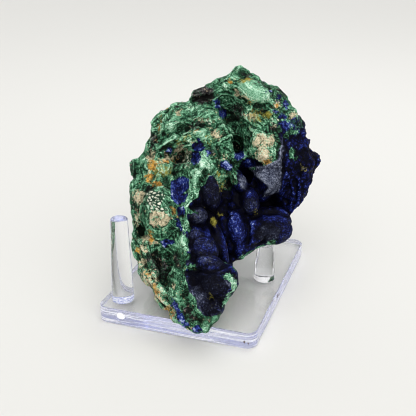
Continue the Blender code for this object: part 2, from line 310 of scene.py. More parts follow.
# Ridges and cracks: the pixels they run through, their half width and how far they stand out,
# in mm.
rockLines = {
    "rim above the lumps": (((206, 156), (212, 165), (206, 172), (198, 175)), 2.6, 1.8),
    "rim beside the lumps": (((198, 175), (194, 183), (195, 192), (190, 201), (185, 207)), 1.7, 2.4),
    "rim of the middle": (((185, 207), (187, 216), (185, 228), (184, 240), (188, 250)), 1.5, 1.8),
    "rim of the foot": (
        ((187, 252), (187, 266), (186, 280), (191, 296), (198, 308), (205, 318)), 1.7, 1.8),
    "crack left of the foot's rim": (((167, 256), (168, 266), (165, 276), (166, 290)), 1.2, -3.6),
    "crack further left": (((155, 254), (160, 267), (161, 277)), 1.1, -2.4),
    "crack along the bark": (((143, 262), (151, 274), (160, 292), (170, 306)), 0.9, -1.8),
    "edge of the velvet hollow": (((172, 176), (170, 186), (173, 198), (179, 206)), 0.9, 1.0),
    "crack left of the long ridge": (((209, 222), (213, 236), (218, 252), (223, 264)), 0.8, -2.6),
    "crack right of the long ridge": (((218, 224), (224, 238), (229, 252), (232, 262)), 0.7, -2.4),
    "crack between bright ridges": (((226, 214), (230, 228), (234, 242), (236, 256)), 0.7, -2.2),
    "crack beside the bright ridge": (((246, 214), (249, 228), (248, 242)), 0.9, -2.6),
    "gap above the lobe": (((252, 217), (264, 212), (280, 211), (290, 215)), 1.4, -2.6),
    "crack right of the tongue": (((283, 150), (283, 168), (281, 184), (274, 196)), 1.0, -2.0),
    "band of the right hollow": (((286, 172), (292, 182), (294, 194), (290, 206)), 0.8, 1.4),
    "outer band of the hollow": (((292, 168), (299, 182), (300, 196), (294, 210)), 0.8, 1.2),
    "ledge under the peak": (((212, 100), (222, 95), (232, 96), (242, 101)), 1.0, 1.4),
    "ledge over the groove": (((222, 122), (228, 134), (233, 148), (234, 158)), 1.0, 1.6),
    "ledge of the shoulder": (((152, 140), (166, 128), (182, 121), (200, 117)), 1.0, 1.4),
    "lower ledge of the shoulder": (((156, 150), (170, 141), (186, 134), (204, 131)), 0.9, 1.2),
    "crack between the ledges": (((158, 143), (172, 133), (190, 126), (206, 123)), 0.8, -1.6),
    "crack of the upper left": (((172, 108), (166, 122), (163, 138)), 0.8, -1.5),
    "crack right of the knob": (((248, 140), (247, 152), (252, 162)), 0.9, -1.8),
    "crack of the nose": (((190, 300), (196, 290), (206, 291), (212, 300)), 0.8, -1.6),
    "crack over the nose": (((186, 273), (198, 270), (210, 272), (222, 268)), 1.0, -2.2),
    "crack under the bead": (((226, 277), (233, 280), (238, 276)), 0.8, -1.4),
    "crust's edge": (((238, 276), (238, 286), (234, 296), (228, 304)), 1.0, 1.0),
}


def seenFrom(tree, points):
    # 1 where the view shows the surface, and 0 well behind what it shows
    eye = Vector(view["place"]) * mm
    behind = np.zeros(len(points))
    for index, point in enumerate(points):
        line = Vector(point) * mm - eye
        hit = tree.ray_cast(eye, line.normalized())
        behind[index] = 0.0 if hit[0] is None else (line.length - hit[3]) / mm
    return np.clip(stone["seenShare"] - behind / stone["seenFade"], 0.0, 1.0)


def lookAt(mesh, tree):
    # what the marks need: points in mm, their pixels, mm in a pixel, and whether they are seen
    points = placesOf(mesh)
    away = (np.array(view["place"]) - points) @ np.array(viewTurn() @ Vector((0, 0, 1)))
    return {
        "points": points,
        "pixels": pixelsOf(points),
        "pixelSize": away / viewReach(),
        "seen": seenFrom(tree, points),
    }


def softStep(distance, sharp):
    # from 0 to 1 across an edge, and half at the edge itself
    return np.clip(0.5 + sharp * distance, 0, 1)


def markReach(look, pixel, half, turn):
    # 1 on the edge of an ellipse seen square on, and less inside it
    away = (look["pixels"] - pixel) * look["pixelSize"][:, None]
    across, down = away[:, 0], -away[:, 1]
    angle = math.radians(turn)
    along = across * math.cos(angle) + down * math.sin(angle)
    upward = down * math.cos(angle) - across * math.sin(angle)
    return np.hypot(along / half[0], upward / half[1])


def lineReach(look, path, half):
    # 1 at a line's half width, and less nearer to it
    nearest = np.full(len(look["points"]), np.inf)
    for start, end in zip(path, path[1:]):
        start, run = np.array(start, float), np.array(end, float) - start
        share = np.clip((look["pixels"] - start) @ run / (run @ run), 0, 1)
        off = np.linalg.norm(look["pixels"] - start - share[:, None] * run, axis=1)
        nearest = np.minimum(nearest, off)
    return nearest * look["pixelSize"] / half


def sculpt(mesh, tree):
    look = lookAt(mesh, tree)
    height = np.zeros(len(look["points"]))
    for pixel, half, turn, amount in rockMarks.values():
        height += amount * np.exp(-markReach(look, pixel, half, turn) ** 2)
    for path, half, amount in rockLines.values():
        height += amount * np.exp(-lineReach(look, path, half) ** 2)
    height += edges["tongueHeight"] * softStep(insideEdge(look, outlines["tongue"]), 1.0)
    toward = np.array(viewTurn() @ Vector((0, 0, 1)))
    normals = normalsOf(mesh)
    facing = np.clip(normals @ toward / stone["fullFacing"], 0, 1)
    outward = (normals + toward) / 2
    setPlaces(mesh, look["points"] + outward * (height * look["seen"] * facing)[:, None])


def addLump(form, tree, pixel, half, turn, depth, sunk):
    turned = viewTurn()
    toward = turned @ Vector((0, 0, 1))
    middle = Vector(surfaceUnder(tree, pixel)) - toward * sunk
    matrix = (
        Matrix.Translation(middle * mm)
        @ turned.to_4x4()
        @ Matrix.Rotation(math.radians(turn), 4, "Z")
        @ Matrix.Diagonal((half[0] * mm, half[1] * mm, depth * mm, 1))
    )
    bmesh.ops.create_icosphere(form, subdivisions=stone["lumpCuts"], radius=1.0, matrix=matrix)


def lumpyStone():
    body = softBody()
    sculpt(body.data, treeOf(body.data))
    tree = treeOf(body.data)
    form = bmesh.new()
    form.from_mesh(body.data)
    bpy.data.objects.remove(body)
    for lump in (*azuriteLumps.values(), *rockLumps.values()):
        addLump(form, tree, *lump)
    return fused(form, "azuriteStone", stone["voxel"], stone["passes"])


# Where azurite grows over the rock: its edge on the display face, in pixels. It runs off the
# right of the stone and on round it.
azuriteEdge = (
    (206, 325), (199, 309), (193, 300), (188, 290), (186, 275), (185, 258), (184, 240), (187, 229),
    (188, 220), (187, 211), (190, 203), (198, 197), (201, 186), (207, 178), (214, 174), (218, 181),
    (223, 191), (230, 190), (235, 180), (238, 170), (241, 161), (247, 157), (256, 161), (264, 166),
    (273, 163), (278, 157), (281, 146), (279, 133), (284, 124), (292, 118), (300, 112), (330, 105),
    (345, 160), (320, 230), (290, 262), (240, 262), (232, 266), (246, 280), (240, 305), (222, 318),
)
# Growths with a sharp outline, in the same form.
outlines = {
    "tongue": (
        (281, 140), (277, 158), (262, 165), (247, 167), (253, 174), (260, 181), (267, 185.5),
        (268, 188), (264.6, 192.4), (262, 198), (267, 196), (279, 193), (282, 186), (283, 175),
        (282, 164), (285, 150)),
    "royal patch": (
        (170.5, 182), (178, 178), (184, 176.5), (189, 179), (189, 188), (182, 195), (185, 194),
        (188.5, 192), (187, 198), (184, 202), (177, 204.5), (171, 199)),
}
edges = {  # how crisp and how ragged the edges of the growths are, lengths in mm
    "raggedSize": 1.6,
    "fineSize": 0.8,
    "fineShare": 0.6,
    "patchRagged": 0.9,
    "patchSharp": 0.5,
    "outlineRagged": 0.2,
    "outlineSharp": 0.9,
    "tongueHeight": 1.6,  # over the rock
}
azuriteSpread = {  # in mm of the stone's frame, the shares from 0 to 1
    "wander": 0.9,  # how far its edge strays
    "wanderSize": 4.0,
    "sharp": 0.5,
    "hidden": (0.35, 1.6, 13.0),  # patches on the hidden sides: base, swing and size
    "hiddenMiddle": 20.0,  # there are more of them to the right of this
    "hiddenRamp": 60.0,
    "hiddenMost": 0.9,
    "back": -16.0,  # behind this the azurite breaks up into patches
    "backRamp": 6.0,
    "backWander": 0.3,
    "flank": 8.0,  # it runs round the stone to the right of this
    "left": -10.0,  # to the left of this there is less of it
    "leftShare": 0.5,
}

# What grows where: pixel of each patch's middle, half width and half height in mm, its turn in
# degrees and, where that isn't 1, its strength.
patches = {
    "azurite": {
        "streak under the peak, top": ((218, 101.5), (1.7, 1.0), 0),
        "streak under the peak, middle": ((220, 106), (1.9, 1.1), -10),
        "streak under the peak, foot": ((223.5, 113.5), (1.8, 2.3), 30),
        "cluster over the pit": ((198, 146.5), (3.1, 2.6), 0, 0.8),
        "tip of that cluster": ((199.5, 141), (1.1, 1.5), 0),
        "cluster under it": ((195, 157.5), (2.7, 3.1), 0, 0.8),
        "dark spot beside it": ((208, 152.5), (1.0, 1.4), 0),
        "patch under the tan spot": ((226.5, 165), (3.2, 2.2), -30),
        "patch under the black hole": ((239.5, 155.5), (2.4, 2.7), 0),
        "small spot on the left": ((169, 150.5), (1.4, 1.5), 0),
        "patch beside the rim": ((180.6, 211), (1.7, 2.5), 0),
        "streak beside the rim": ((178.6, 224.5), (1.0, 3.0), 25),
        "left end of the green dome": ((164.5, 244), (1.7, 1.8), 0),
        "right end of the green dome": ((171, 241.5), (1.7, 1.3), 0),
        "long streak of the foot, upper": ((174, 306), (1.2, 2.8), 28),
        "long streak of the foot, lower": ((180, 316.5), (1.4, 3.4), 30),
        "spot at the toe": ((186, 326), (1.6, 1.1), 0),
        "dark toe": ((197, 330), (2.0, 1.6), 0),
        "fleck on the pale dome": ((270.5, 91), (1.0, 0.7), -35),
        "fleck beside it": ((266, 92.5), (0.6, 0.6), 0),
        "fleck on the right edge": ((279, 97.5), (1.1, 1.4), 20),
        "edge under the shoulder": ((286, 104), (0.9, 2.4), 25),
        "cluster on the right, top": ((276, 112), (2.6, 1.6), -35, 0.58),
        "cluster on the right, middle": ((283, 116), (2.6, 2.0), -30, 0.62),
        "cluster on the right, foot": ((285, 125.5), (4.0, 3.2), 0, 0.62),
        "left of the round knob": ((248.5, 164), (2.2, 2.4), 0),
    },
    "malachite": {
        "broken edge of the azurite": ((291, 121), (7.4, 7.0), 0, 0.46),
        "edge of the round lump": ((192, 211), (2.0, 1.1), -10),
        "edge of the lump below": ((188.5, 227), (1.5, 1.9), -20),
        "strip beside the broad lump": ((186.5, 245), (1.1, 3.2), 0),
        "green patch in the azurite, upper": ((187.5, 256.5), (1.6, 1.3), 20),
        "green patch in the azurite, lower": ((192.5, 268), (2.4, 1.4), -12),
        "under the lobe, right": ((271, 244), (2.2, 1.3), 20, 1.4),
        "under the lobe, middle": ((260, 250), (3.6, 1.3), 28, 1.4),
        "under the lobe, left": ((247, 256.5), (3.2, 1.3), 30, 1.4),
        "crescent of the small ring": ((250.5, 168.5), (2.0, 0.8), -15),
        "left of the small lump": ((233.5, 178), (1.0, 2.6), 20),
        "specks on the right wall": ((292, 153), (1.6, 2.6), 0),
        "specks under the cluster": ((286.5, 135), (1.1, 1.6), 0),
        "specks beside them": ((293.5, 133), (2.0, 1.0), 15),
        "bright spot on the right wall": ((296, 158), (1.1, 0.8), 0),
        "crust on the foot, upper": ((230, 277), (2.8, 1.5), -35),
        "crust on the foot, middle": ((234.5, 285), (1.6, 3.4), 0, 0.8),
        "crust on the foot, lower": ((228, 299), (1.6, 4.4), -32, 0.66),
        "bottom edge": ((215, 319), (4.0, 1.5), 18),
        "toe lump": ((207, 323), (3.2, 3.2), 0),
        "low on the dome": ((193, 301), (1.3, 2.2), 20),
    },
    "pale": {
        "dome beside the peak": ((254, 90), (8.2, 5.4), -25, 1.2),
        "foot of that dome": ((264, 99.5), (5.6, 2.8), -30, 1.3),
        "ledge under the peak": ((222, 90), (4.0, 2.2), 30),
        "ledge below it": ((227, 99), (3.0, 1.2), -10),
        "rim, top": ((205, 161), (4.4, 4.4), 30, 1.2),
        "rim, corner": ((200, 172), (4.6, 2.8), 15, 1.2),
        "rim, beside the tall lump": ((195, 184), (2.4, 4.6), 5, 1.2),
        "rim, foot of it": ((190, 202), (2.4, 1.8), 40),
        "rim of the round lump": ((187, 213), (1.0, 3.0), 0),
        "rim of the lump below": ((184, 234), (1.0, 3.6), 5),
        "green dome": ((179, 243), (2.8, 3.4), 0),
        "crust on the foot": ((234, 286), (2.4, 4.6), 0, 1.4),
        "crust on the foot, lower": ((227, 300), (2.0, 4.4), -32, 1.3),
        "crust on the foot, upper": ((230, 277), (3.4, 2.0), -35, 1.4),
        "crescent of the small ring": ((250.5, 168.5), (2.0, 0.9), -15),
        "veins over the tall lump": ((217, 178), (1.2, 4.4), 20),
        "specks under the foot's rim": ((192, 296), (1.6, 2.4), 25),
        "upper left": ((184, 112), (4.4, 1.3), 25),
        "upper left, wide": ((170, 126), (9.0, 9.0), 0, 0.75),
        "layers of the shoulder": ((194, 124), (13.0, 10.0), 15, 0.8),
        "orange part": ((155, 170), (6.0, 7.0), 0, 0.9),
        "round the tan knob": ((264, 148), (6.6, 8.0), 0, 0.8),
        "round the roundel": ((160, 208), (7.0, 9.0), 0, 0.3),
        "shoulder": ((165, 117), (1.8, 2.0), 0),
        "middle of the left": ((172, 134), (1.2, 3.0), -25),
        "right of the knob": ((273, 118), (1.4, 1.2), 0),
        "left knob": ((140, 163), (2.6, 2.6), 0),
        "under the peak": ((234, 76), (2.4, 2.6), 20),
    },
    # A dark manganese film on the ledges, and painted shade in the cracks, pits and holes; it darkens
    # the malachite under it too.
    "shade": {
        "ledge left of the peak": ((203, 95), (6.0, 4.2), 20, 1.3),
        "top of the shoulder": ((178, 107), (3.0, 1.4), 20),
        "edge of the upper left": ((154, 140), (2.0, 5.6), -12),
        "left knob": ((131, 168), (1.9, 4.6), 0),
        "beside the groove": ((237, 112), (3.4, 4.6), 25),
        "over the pale dome": ((246, 76), (4.6, 1.6), -35),
        "right of the peak": ((262, 84), (5.0, 1.4), -28),
        "right shoulder": ((281, 93), (3.4, 2.6), -40),
        "pit": ((180, 160), (2.6, 5.0), -22),
        "layers of the upper left": ((159, 130), (4.6, 8.4), 15, 0.4),
        "under the ledge": ((196, 112), (5.0, 3.0), 10, 0.6),
        "crack above the roundel": ((150, 187), (4.8, 1.8), 18),
        "crack left of the roundel": ((134.5, 206), (1.6, 5.0), 10),
        "inside the left edge": ((147, 192), (1.6, 4.0), -20),
        "beside the foot": ((160, 268), (4.0, 6.4), 20),
        "low on the left": ((150, 258), (3.0, 3.4), 0),
        "between the bands of the foot": ((177, 262), (1.8, 4.6), 12),
        "middle of the shoulder": ((196, 125), (4.6, 2.4), 15),
        "green hole": ((229, 183), (2.0, 3.0), 0),
        "beside the blue streak": ((189, 314), (2.8, 5.0), 30, 1.1),
        "toe's leaves": ((209, 323), (5.6, 4.4), -25, 0.5),
        "swell beside the round knob": ((212, 152), (2.4, 2.8), 0),
        "brown pocket": ((273, 128), (2.4, 1.8), 0),
        "hole above the knob": ((262, 110), (1.6, 1.3), 0),
    },
    "tan": {
        "knob, upper left": ((260, 141.5), (4.2, 3.8), 0, 1.05),
        "knob, right": ((270, 140.5), (3.2, 3.0), 0, 1.0),
        "knob, lower": ((263, 156), (4.4, 3.8), -10, 1.05),
        "knob's foot": ((267, 162), (2.4, 1.8), 20),
        "patch over the knob": ((252, 116), (3.4, 2.4), 0),
        "pink patch by the dome": ((237, 93.5), (1.8, 1.8), 0),
        "pink streak by the dome": ((246, 97.5), (2.2, 0.7), -25),
        "right of the dome": ((278, 104), (1.7, 1.9), 40),
        "cream streak": ((273.5, 122), (1.9, 0.8), -45),
        "spot under the swell": ((225, 158), (1.5, 1.8), -15),
        "spot on the shoulder": ((177.5, 112), (1.5, 1.1), 0),
        "spot of the middle": ((206, 121), (2.4, 0.9), -15),
        "spot over the cluster": ((194.5, 142), (1.2, 1.3), 0),
        "specks over the cluster": ((215, 133), (3.2, 2.0), -40),
        "left edge, upper": ((150.5, 156.5), (1.9, 2.7), 0),
        "left of the pit": ((167, 160), (4.4, 1.7), 18),
        "left of the pit, upper": ((179, 149.5), (2.4, 1.2), 40),
        "crystals in the pit": ((188, 157), (1.8, 3.6), -15, 1.2),
        "wedge on the left edge": ((139, 196), (2.6, 3.4), -30),
        "roundel's foot": ((158.5, 218), (5.0, 4.0), -8, 1.4),
        "spot by the roundel": ((163, 185), (1.2, 1.2), 0),
        "fibres, upper": ((149, 241), (4.2, 1.9), -30),
        "fibres, lower": ((143, 249), (3.0, 1.6), -50),
        "bark, upper": ((141.5, 264), (2.4, 2.8), 20, 0.8),
        "bark, middle": ((149, 279), (4.0, 5.0), 28, 0.75),
        "bark, lower": ((158, 296), (3.4, 5.0), 30, 0.75),
        "bark, foot": ((169, 312), (2.4, 4.8), 28, 0.75),
        "toe": ((188, 330), (2.8, 1.3), 15),
        "spot on the foot's rim": ((172.5, 286), (1.2, 1.5), 0),
        "olive fibres": ((297, 118), (4.8, 2.2), -28),
        "edge by the roundel": ((137, 219), (0.9, 5.0), 0),
    },
    "rust": {
        "large spot": ((148.5, 177), (2.2, 2.3), 20),
        "band above it": ((152, 165), (2.4, 3.4), -28),
        "spots under it": ((156, 183.5), (3.4, 1.3), -10),
        "spots by the pit": ((168, 161), (4.0, 1.0), 10),
        "spot by the pit's top": ((195, 131.5), (1.4, 0.8), 0),
        "foot of the knob": ((267, 163), (2.0, 1.2), 20),
        "spot by the velvet patch": ((174.5, 210.5), (0.9, 2.0), 20),
        "spot below it": ((178, 214), (0.7, 1.1), 0),
        "under the roundel": ((150, 233), (0.9, 1.6), 0),
        "fibres": ((151, 240), (1.5, 1.9), 0),
        "left edge low": ((137.5, 250), (1.1, 1.7), 30),
        "bark": ((156, 289), (1.6, 3.4), 30, 0.75),
        "bark, lower": ((168, 310), (1.4, 3.8), 25, 0.75),
        "bark, upper": ((148, 274), (1.6, 2.4), 30, 0.7),
        "shoulder's edge": ((159, 122), (0.7, 4.4), -8),
        "right edge": ((307.5, 186), (1.0, 1.6), 0),
        "right of the dome": ((278.5, 105.5), (0.8, 1.0), 0),
        "over the dome": ((248, 79.5), (1.8, 0.7), 0),
        "toe": ((187, 329.5), (1.8, 0.8), 25),
        "red spot by the dome": ((230, 82), (1.0, 0.8), 0),
        "red spot below it": ((250, 101.5), (0.8, 1.0), 0),
    },
    "crystal": {
        "roundel, upper": ((155, 198.5), (4.6, 3.4), 25, 1.1),
        "roundel, right": ((161, 194), (1.8, 1.4), 0),
        "roundel, middle": ((157, 208), (4.0, 1.3), -5),
        "in the pit": ((188, 158), (1.7, 3.6), -15),
        "cream in the rock": ((208, 122.5), (2.2, 0.9), -25),
        "fleck on the shoulder": ((174.5, 121.5), (0.8, 1.0), 0),
        "fleck under the ledge": ((189.5, 106), (1.2, 0.8), 0),
        "spot by the cluster": ((279.5, 119.5), (1.2, 1.1), 0),
        "cream streak": ((273.5, 122), (1.5, 0.7), -45),
        "fleck in the patch": ((224, 163.5), (0.9, 0.9), 0),
        "edge of the rim": ((212.5, 180), (0.5, 1.5), 25),
    },
    # Grey velvet of azurite hairs: its own colour on the tongue and the lobe's middle, and a painted
    # sheen on the round lumps and the foot.
    "velvet": {
        "grey tongue, top": ((281, 150), (1.8, 6.5), 0, 0.8),
        "small lump under the hole": ((242, 182), (2.4, 4.0), 12, 0.8),
        "middle of the lobe": ((269, 233), (5.6, 4.3), 12, 0.95),
        "round lump by the rim": ((199, 216), (4.6, 4.0), 0, 0.6),
        "round lump below it": ((194, 236), (4.8, 4.0), 0, 0.55),
        "foot of the broad lump": ((198, 270), (5.0, 2.0), 15, 0.62),
        "broad rough lump": ((205, 258), (4.4, 3.4), 0, 0.55),
        "left dome of the foot": ((198, 293), (5.0, 4.0), 0, 0.68),
        "low on the foot": ((206, 307), (5.0, 3.6), 0, 0.6),
        "middle lump": ((250, 206), (4.0, 4.6), 10, 0.5),
        "tall lump": ((211, 192), (4.4, 7.6), 8, 0.5),
        "lower azurite": ((204, 268), (9.0, 14.0), -8, 0.46),
        "foot": ((210, 298), (10.0, 9.0), 0, 0.5),
        "lobe": ((276, 233), (8.4, 6.0), 12, 0.4),
        "edge of the crust": ((228, 283), (2.8, 2.2), 0, 0.7),
        "grey by the green patch": ((189, 250), (2.4, 1.2), -20, 0.8),
    },
    # Where the azurite is darker: partly its own darker tone, and partly painted shade in the hollows
    # between and under the lumps.
    "deep": {
        "middle of the foot": ((208, 282), (8.0, 5.0), -12),
        "lower foot": ((216, 300), (4.4, 5.4), 0, 0.8),
        "tall lump": ((210, 194), (5.0, 8.0), 8, 0.65),
        "under the tall lump": ((214, 214), (4.0, 3.0), 0),
        "left of the tall lump": ((199, 199), (3.0, 4.0), 0),
        "beside the long ridge": ((216, 228), (1.6, 6.0), 12),
        "below the middle lump": ((238, 202), (3.4, 5.0), 0, 0.8),
        "hollow under the tongue": ((272, 206), (5.0, 4.0), 0),
        "lobe's middle": ((268, 232), (6.0, 4.6), 12, 1.5),
        "right wall": ((301, 150), (4.0, 8.0), 0, 0.5),
    },
    # Bright royal-blue azurite; along the edges of the long ridge, the bright ridge and the lobe's
    # upper edge it is a painted highlight.
    "royal": {
        "bright ridge": ((235, 224), (3.8, 6.4), 9, 0.8),
        "bright ridge, lower": ((242, 240), (3.0, 6.4), 8, 0.8),
        "edge of the long ridge": ((223, 236), (0.9, 6.6), 16),
        "edge of the long ridge, lower": ((227, 253), (0.9, 5.0), 8),
        "right hollow, upper": ((291, 183), (3.4, 7.4), -12, 0.5),
        "right hollow, lower": ((290, 203), (6.2, 4.6), 0, 0.5),
        "right hollow, foot": ((280, 211), (4.4, 2.4), 0),
        "upper right wall": ((300, 140), (4.0, 4.6), 0),
        "beside the middle lump": ((248, 194), (1.8, 1.6), 0),
        "between lump and lobe": ((250, 228), (2.2, 5.4), -12, 0.7),
        "cluster on the right": ((285, 120), (6.4, 6.0), 0),
        "under the tall lump": ((207, 236), (1.6, 4.4), 0),
        "lobe's upper edge": ((272, 218), (6.4, 1.0), 0, 0.8),
        "lobe": ((274, 230), (8.6, 6.0), 12, 0.6),
        "streaks of the hollow, left": ((284.5, 181), (0.8, 6.6), -6, 1.3),
        "streaks of the hollow, middle": ((290, 192), (0.8, 6.0), -14, 1.3),
        "streaks of the hollow, right": ((297, 188), (0.7, 5.0), -12, 1.1),
        "streaks of the hollow, foot": ((279, 201), (2.6, 1.0), 40, 1.2),
        "round lump below the rim": ((193, 235), (5.0, 4.5), 0, 0.6),
        "broad lump": ((204, 253), (6.0, 8.0), 16, 0.6),
        "foot of the broad lump": ((208, 268), (6.0, 3.0), -10, 0.4),
    },
    "yellow": {
        "crystal in the hollow": ((214, 221.5), (1.5, 1.9), 0),
        "crystal beside it": ((219.5, 213.5), (1.3, 0.9), 30),
        "vein over the tall lump": ((219.5, 176), (0.9, 2.2), 20),
        "vein's foot": ((221.5, 187), (0.8, 2.4), 10),
        "spot on the right wall": ((303.5, 168), (0.9, 1.6), 15, 0.8),
        "spot by the middle lump": ((256.5, 211.5), (0.6, 1.1), -25),
        "over the pale dome": ((244, 80), (2.6, 1.6), 0),
        "left of the knob": ((268, 114), (2.4, 1.6), 0),
        "spot on the foot": ((211.5, 296.5), (0.7, 1.0), 0, 0.9),
        "spot below it": ((213, 305), (0.5, 1.2), 0, 0.8),
        "in the middle": ((182, 140), (7.6, 2.4), 18, 0.5),
        "in the middle, right": ((209, 139), (3.4, 3.0), 0, 0.5),
        "by the knob": ((255, 116), (4.4, 3.6), 0, 0.6),
        "under the orange spots": ((163, 171), (5.0, 3.0), 0, 0.7),
    },
}
# The growths whose bands run round a middle of their own: its pixel, the half width and half
# height that the bands cover in mm, and the width against the height of a ring.
rings = {
    "roundel": ((159, 213), (9.5, 13.0), 0.8),
    "lobe": ((269, 231), (11.0, 8.0), 1.5),
    "right hollow": ((280, 190), (11.0, 15.0), 0.6),
    "small round knob": ((213, 152), (3.2, 3.6), 1.0),
    "small ring": ((248.5, 163), (3.4, 3.4), 1.0),
}

relief = {  # the stone's fine growth, its sizes and heights in mm
    "cragSize": 8.0,
    "cragHeight": 1.1,
    "cragFractal": (0.8, 2.1, 4),  # how it fades, its lacunarity and its octaves
    "ledgeSpacing": 6.0,
    "ledgeHeight": 0.55,
    "ledgeRise": 0.8,  # share of a ledge that slopes up, before it falls away
    "ledgeFall": 5.0,  # and how steep it falls
    "strataSize": 1.1,
    "strataLength": 12.0,
    "strataHeight": 0.18,
    "blockSize": 6.5,
    "blockHeight": 0.5,
    "chipSize": 2.4,
    "chipHeight": 0.2,
    "poreSize": 3.6,
    "poreReach": 0.3,
    "poreDepth": 1.4,
    "grainSize": 1.1,
    "grainHeight": 0.12,
    "drusySize": 2.2,
    "drusyHeight": 1.0,
    "crustSize": 3.2,
    "crustHeight": 0.4,
    "azuriteGrain": 0.3,
    "azuriteStrata": 0.3,  # times the rock's own
    "ballMiddle": 0.4,  # distance at which a ball's side crosses the surface
    "worn": (0.75, 0.9, 9.0),  # how rough the rock is from place to place: base, swing and size
    "wornLimits": (0.1, 1.4),
    "smoothing": 0.75,  # on the smooth places
}


# A seed moves a noise this many of its own sizes, so that no two fall together.
seedStep = {"noise": (7.3, 3.1, 5.7), "cells": (2.9, 8.3, 4.1), "chips": (4.7, 1.9, 6.3)}
seeds = {
    "wander": 1, "hidden": 2, "ring": 5, "worn": 6, "ragged": 7, "fineRagged": 8, "crust": 13,
    "pore": 1, "grain": 2, "drusy": 3,  # of cells
    "block": 4, "chip": 14,  # of chips
}
chips = {
    "scatter": 5.0,
    "spread": 0.8,  # of their heights
    "crackDepth": 0.5,
    "crackSharp": 4.0,
}


def noiseOf(vectors, size, seed):
    shift = Vector(seedStep["noise"]) * seed
    return np.array([noise.noise(vector / size + shift) for vector in vectors])


def cellsOf(vectors, size, seed):
    # distance to the nearest of many scattered points, about 0 to 0.8
    shift = Vector(seedStep["cells"]) * seed
    return np.array([noise.voronoi(vector / size + shift)[0][0] for vector in vectors])


def chipsOf(vectors, size, seed):
    # broken faces at random heights, with cracks between them
    heights = np.empty(len(vectors))
    shift = Vector(seedStep["chips"]) * seed
    for index, vector in enumerate(vectors):
        distances, middles = noise.voronoi(vector / size + shift)
        crack = min(1.0, (distances[1] - distances[0]) * chips["crackSharp"])
        face = (noise.cell(middles[0] * chips["scatter"]) - 0.5) * chips["spread"]
        heights[index] = face - chips["crackDepth"] * (1 - crack)
    return heights


def insideEdge(look, edge):
    # how far inside a closed edge each point is seen, in mm, less than 0 outside
    ends = edge[1:] + edge[:1]
    inside = np.zeros(len(look["points"]), bool)
    across, down = look["pixels"].T
    for start, end in zip(edge, ends):
        if start[1] == end[1]:
            continue
        crosses = (start[1] > down) != (end[1] > down)
        at = start[0] + (down - start[1]) / (end[1] - start[1]) * (end[0] - start[0])
        inside ^= crosses & (across < at)
    return lineReach(look, edge + edge[:1], 1.0) * np.where(inside, 1, -1)


def azuriteShare(look, local, vectors):
    # 1 where azurite covers the rock, 0 where it doesn't
    spread = azuriteSpread
    wander = spread["wander"] * noiseOf(vectors, spread["wanderSize"], seeds["wander"])
    shown = softStep(insideEdge(look, azuriteEdge) + wander, spread["sharp"])
    base, swing, size = spread["hidden"]
    right = (local[:, 0] - spread["hiddenMiddle"]) / spread["hiddenRamp"]
    sides = np.clip(base + swing * noiseOf(vectors, size, seeds["hidden"]) + right, 0, 1)
    front = (local[:, 2] - spread["back"]) / spread["backRamp"]
    front = np.clip(front + wander * spread["backWander"], 0, 1)
    around = np.clip((local[:, 0] - spread["flank"]) / spread["flank"], 0, 1) * front
    unseen = np.maximum(sides * spread["hiddenMost"], around) * (1 - look["seen"])
    return shown * look["seen"] + unseen * np.where(
        local[:, 0] < spread["left"], spread["leftShare"], 1)


def patchShare(look, spots, ragged):
    share = np.zeros(len(look["points"]))
    for pixel, half, turn, *strength in spots.values():
        inside = (1 - markReach(look, pixel, half, turn)) * min(half)
        inside += edges["patchRagged"] * ragged
        part = strength[0] if strength else 1.0
        share = np.maximum(share, part * softStep(inside, edges["patchSharp"]))
    return share * look["seen"]


bands = {  # in mm of the stone's frame
    "middle": (6.0, 6.0),  # the layers run round this
    "stretch": (1.15, 0.85),
    "depth": 0.35,
    "waves": ((4.0, 11.0, 3), (0.35, 4.0, 4)),  # height, size and seed of each
    "rimReach": 1.5,  # times a rim's half width
    "ringWave": 0.5,
    "ringWaveSize": 3.0,
}


def bandsOf(look, local, vectors):
    # a field in mm whose contours are the bands in which the minerals grew
    across, up = ((local[:, :2] - bands["middle"]) * bands["stretch"]).T
    layers = np.hypot(across, up) + bands["depth"] * local[:, 2]
    layers += sum(height * noiseOf(vectors, size, seed) for height, size, seed in bands["waves"])
    for name, (path, half, _) in rockLines.items():
        if name.startswith("rim"):
            reach = lineReach(look, path, half)
            near = (reach < bands["rimReach"]) & (look["seen"] > 0.5)
            layers = np.where(near, reach * half, layers)
    for pixel, half, squash in rings.values():
        inside = markReach(look, pixel, half, 0) < 1
        ring = markReach(look, pixel, (squash ** 0.5, squash ** -0.5), 0)
        ring += bands["ringWave"] * noiseOf(vectors, bands["ringWaveSize"], seeds["ring"])
        layers = np.where(inside & (look["seen"] > 0.5), ring, layers)
    return layers


def neighbourMean(mesh, values, passes):
    # each vertex's value evened out with its neighbours', again and again
    pairs = np.empty(len(mesh.edges) * 2, np.int32)
    mesh.edges.foreach_get("vertices", pairs)
    first, second = pairs.reshape(-1, 2).T
    count = np.bincount(pairs, minlength=len(values))[:, None]
    for _ in range(passes):
        total = np.zeros_like(values)
        for axis in range(values.shape[1]):
            total[:, axis] = np.bincount(first, values[second, axis], len(values))
            total[:, axis] += np.bincount(second, values[first, axis], len(values))
        values = 0.5 * values + 0.5 * total / count
    return values


# The passes of evening out that small and wide hollows are judged by, and what each weighs. The
# colours take painted shade from it in the hollows and painted light on the edges and knobs.
hollows = {"nearPasses": 3, "near": 2.0, "widePasses": 40, "wide": 0.24}


def hollowness(mesh):
    # 0.5 on the flat, up to 1 in cracks and pits, down to 0 on edges and knobs; the colours darken
    #     # with it as painted shade in the cracks and pits, and lighten as painted light on the edges
    points, normals = placesOf(mesh), normalsOf(mesh)
    near = ((neighbourMean(mesh, points, hollows["nearPasses"]) - points) * normals).sum(axis=1)
    wide = ((neighbourMean(mesh, points, hollows["widePasses"]) - points) * normals).sum(axis=1)
    return np.clip(0.5 + hollows["near"] * near + hollows["wide"] * wide, 0, 1)


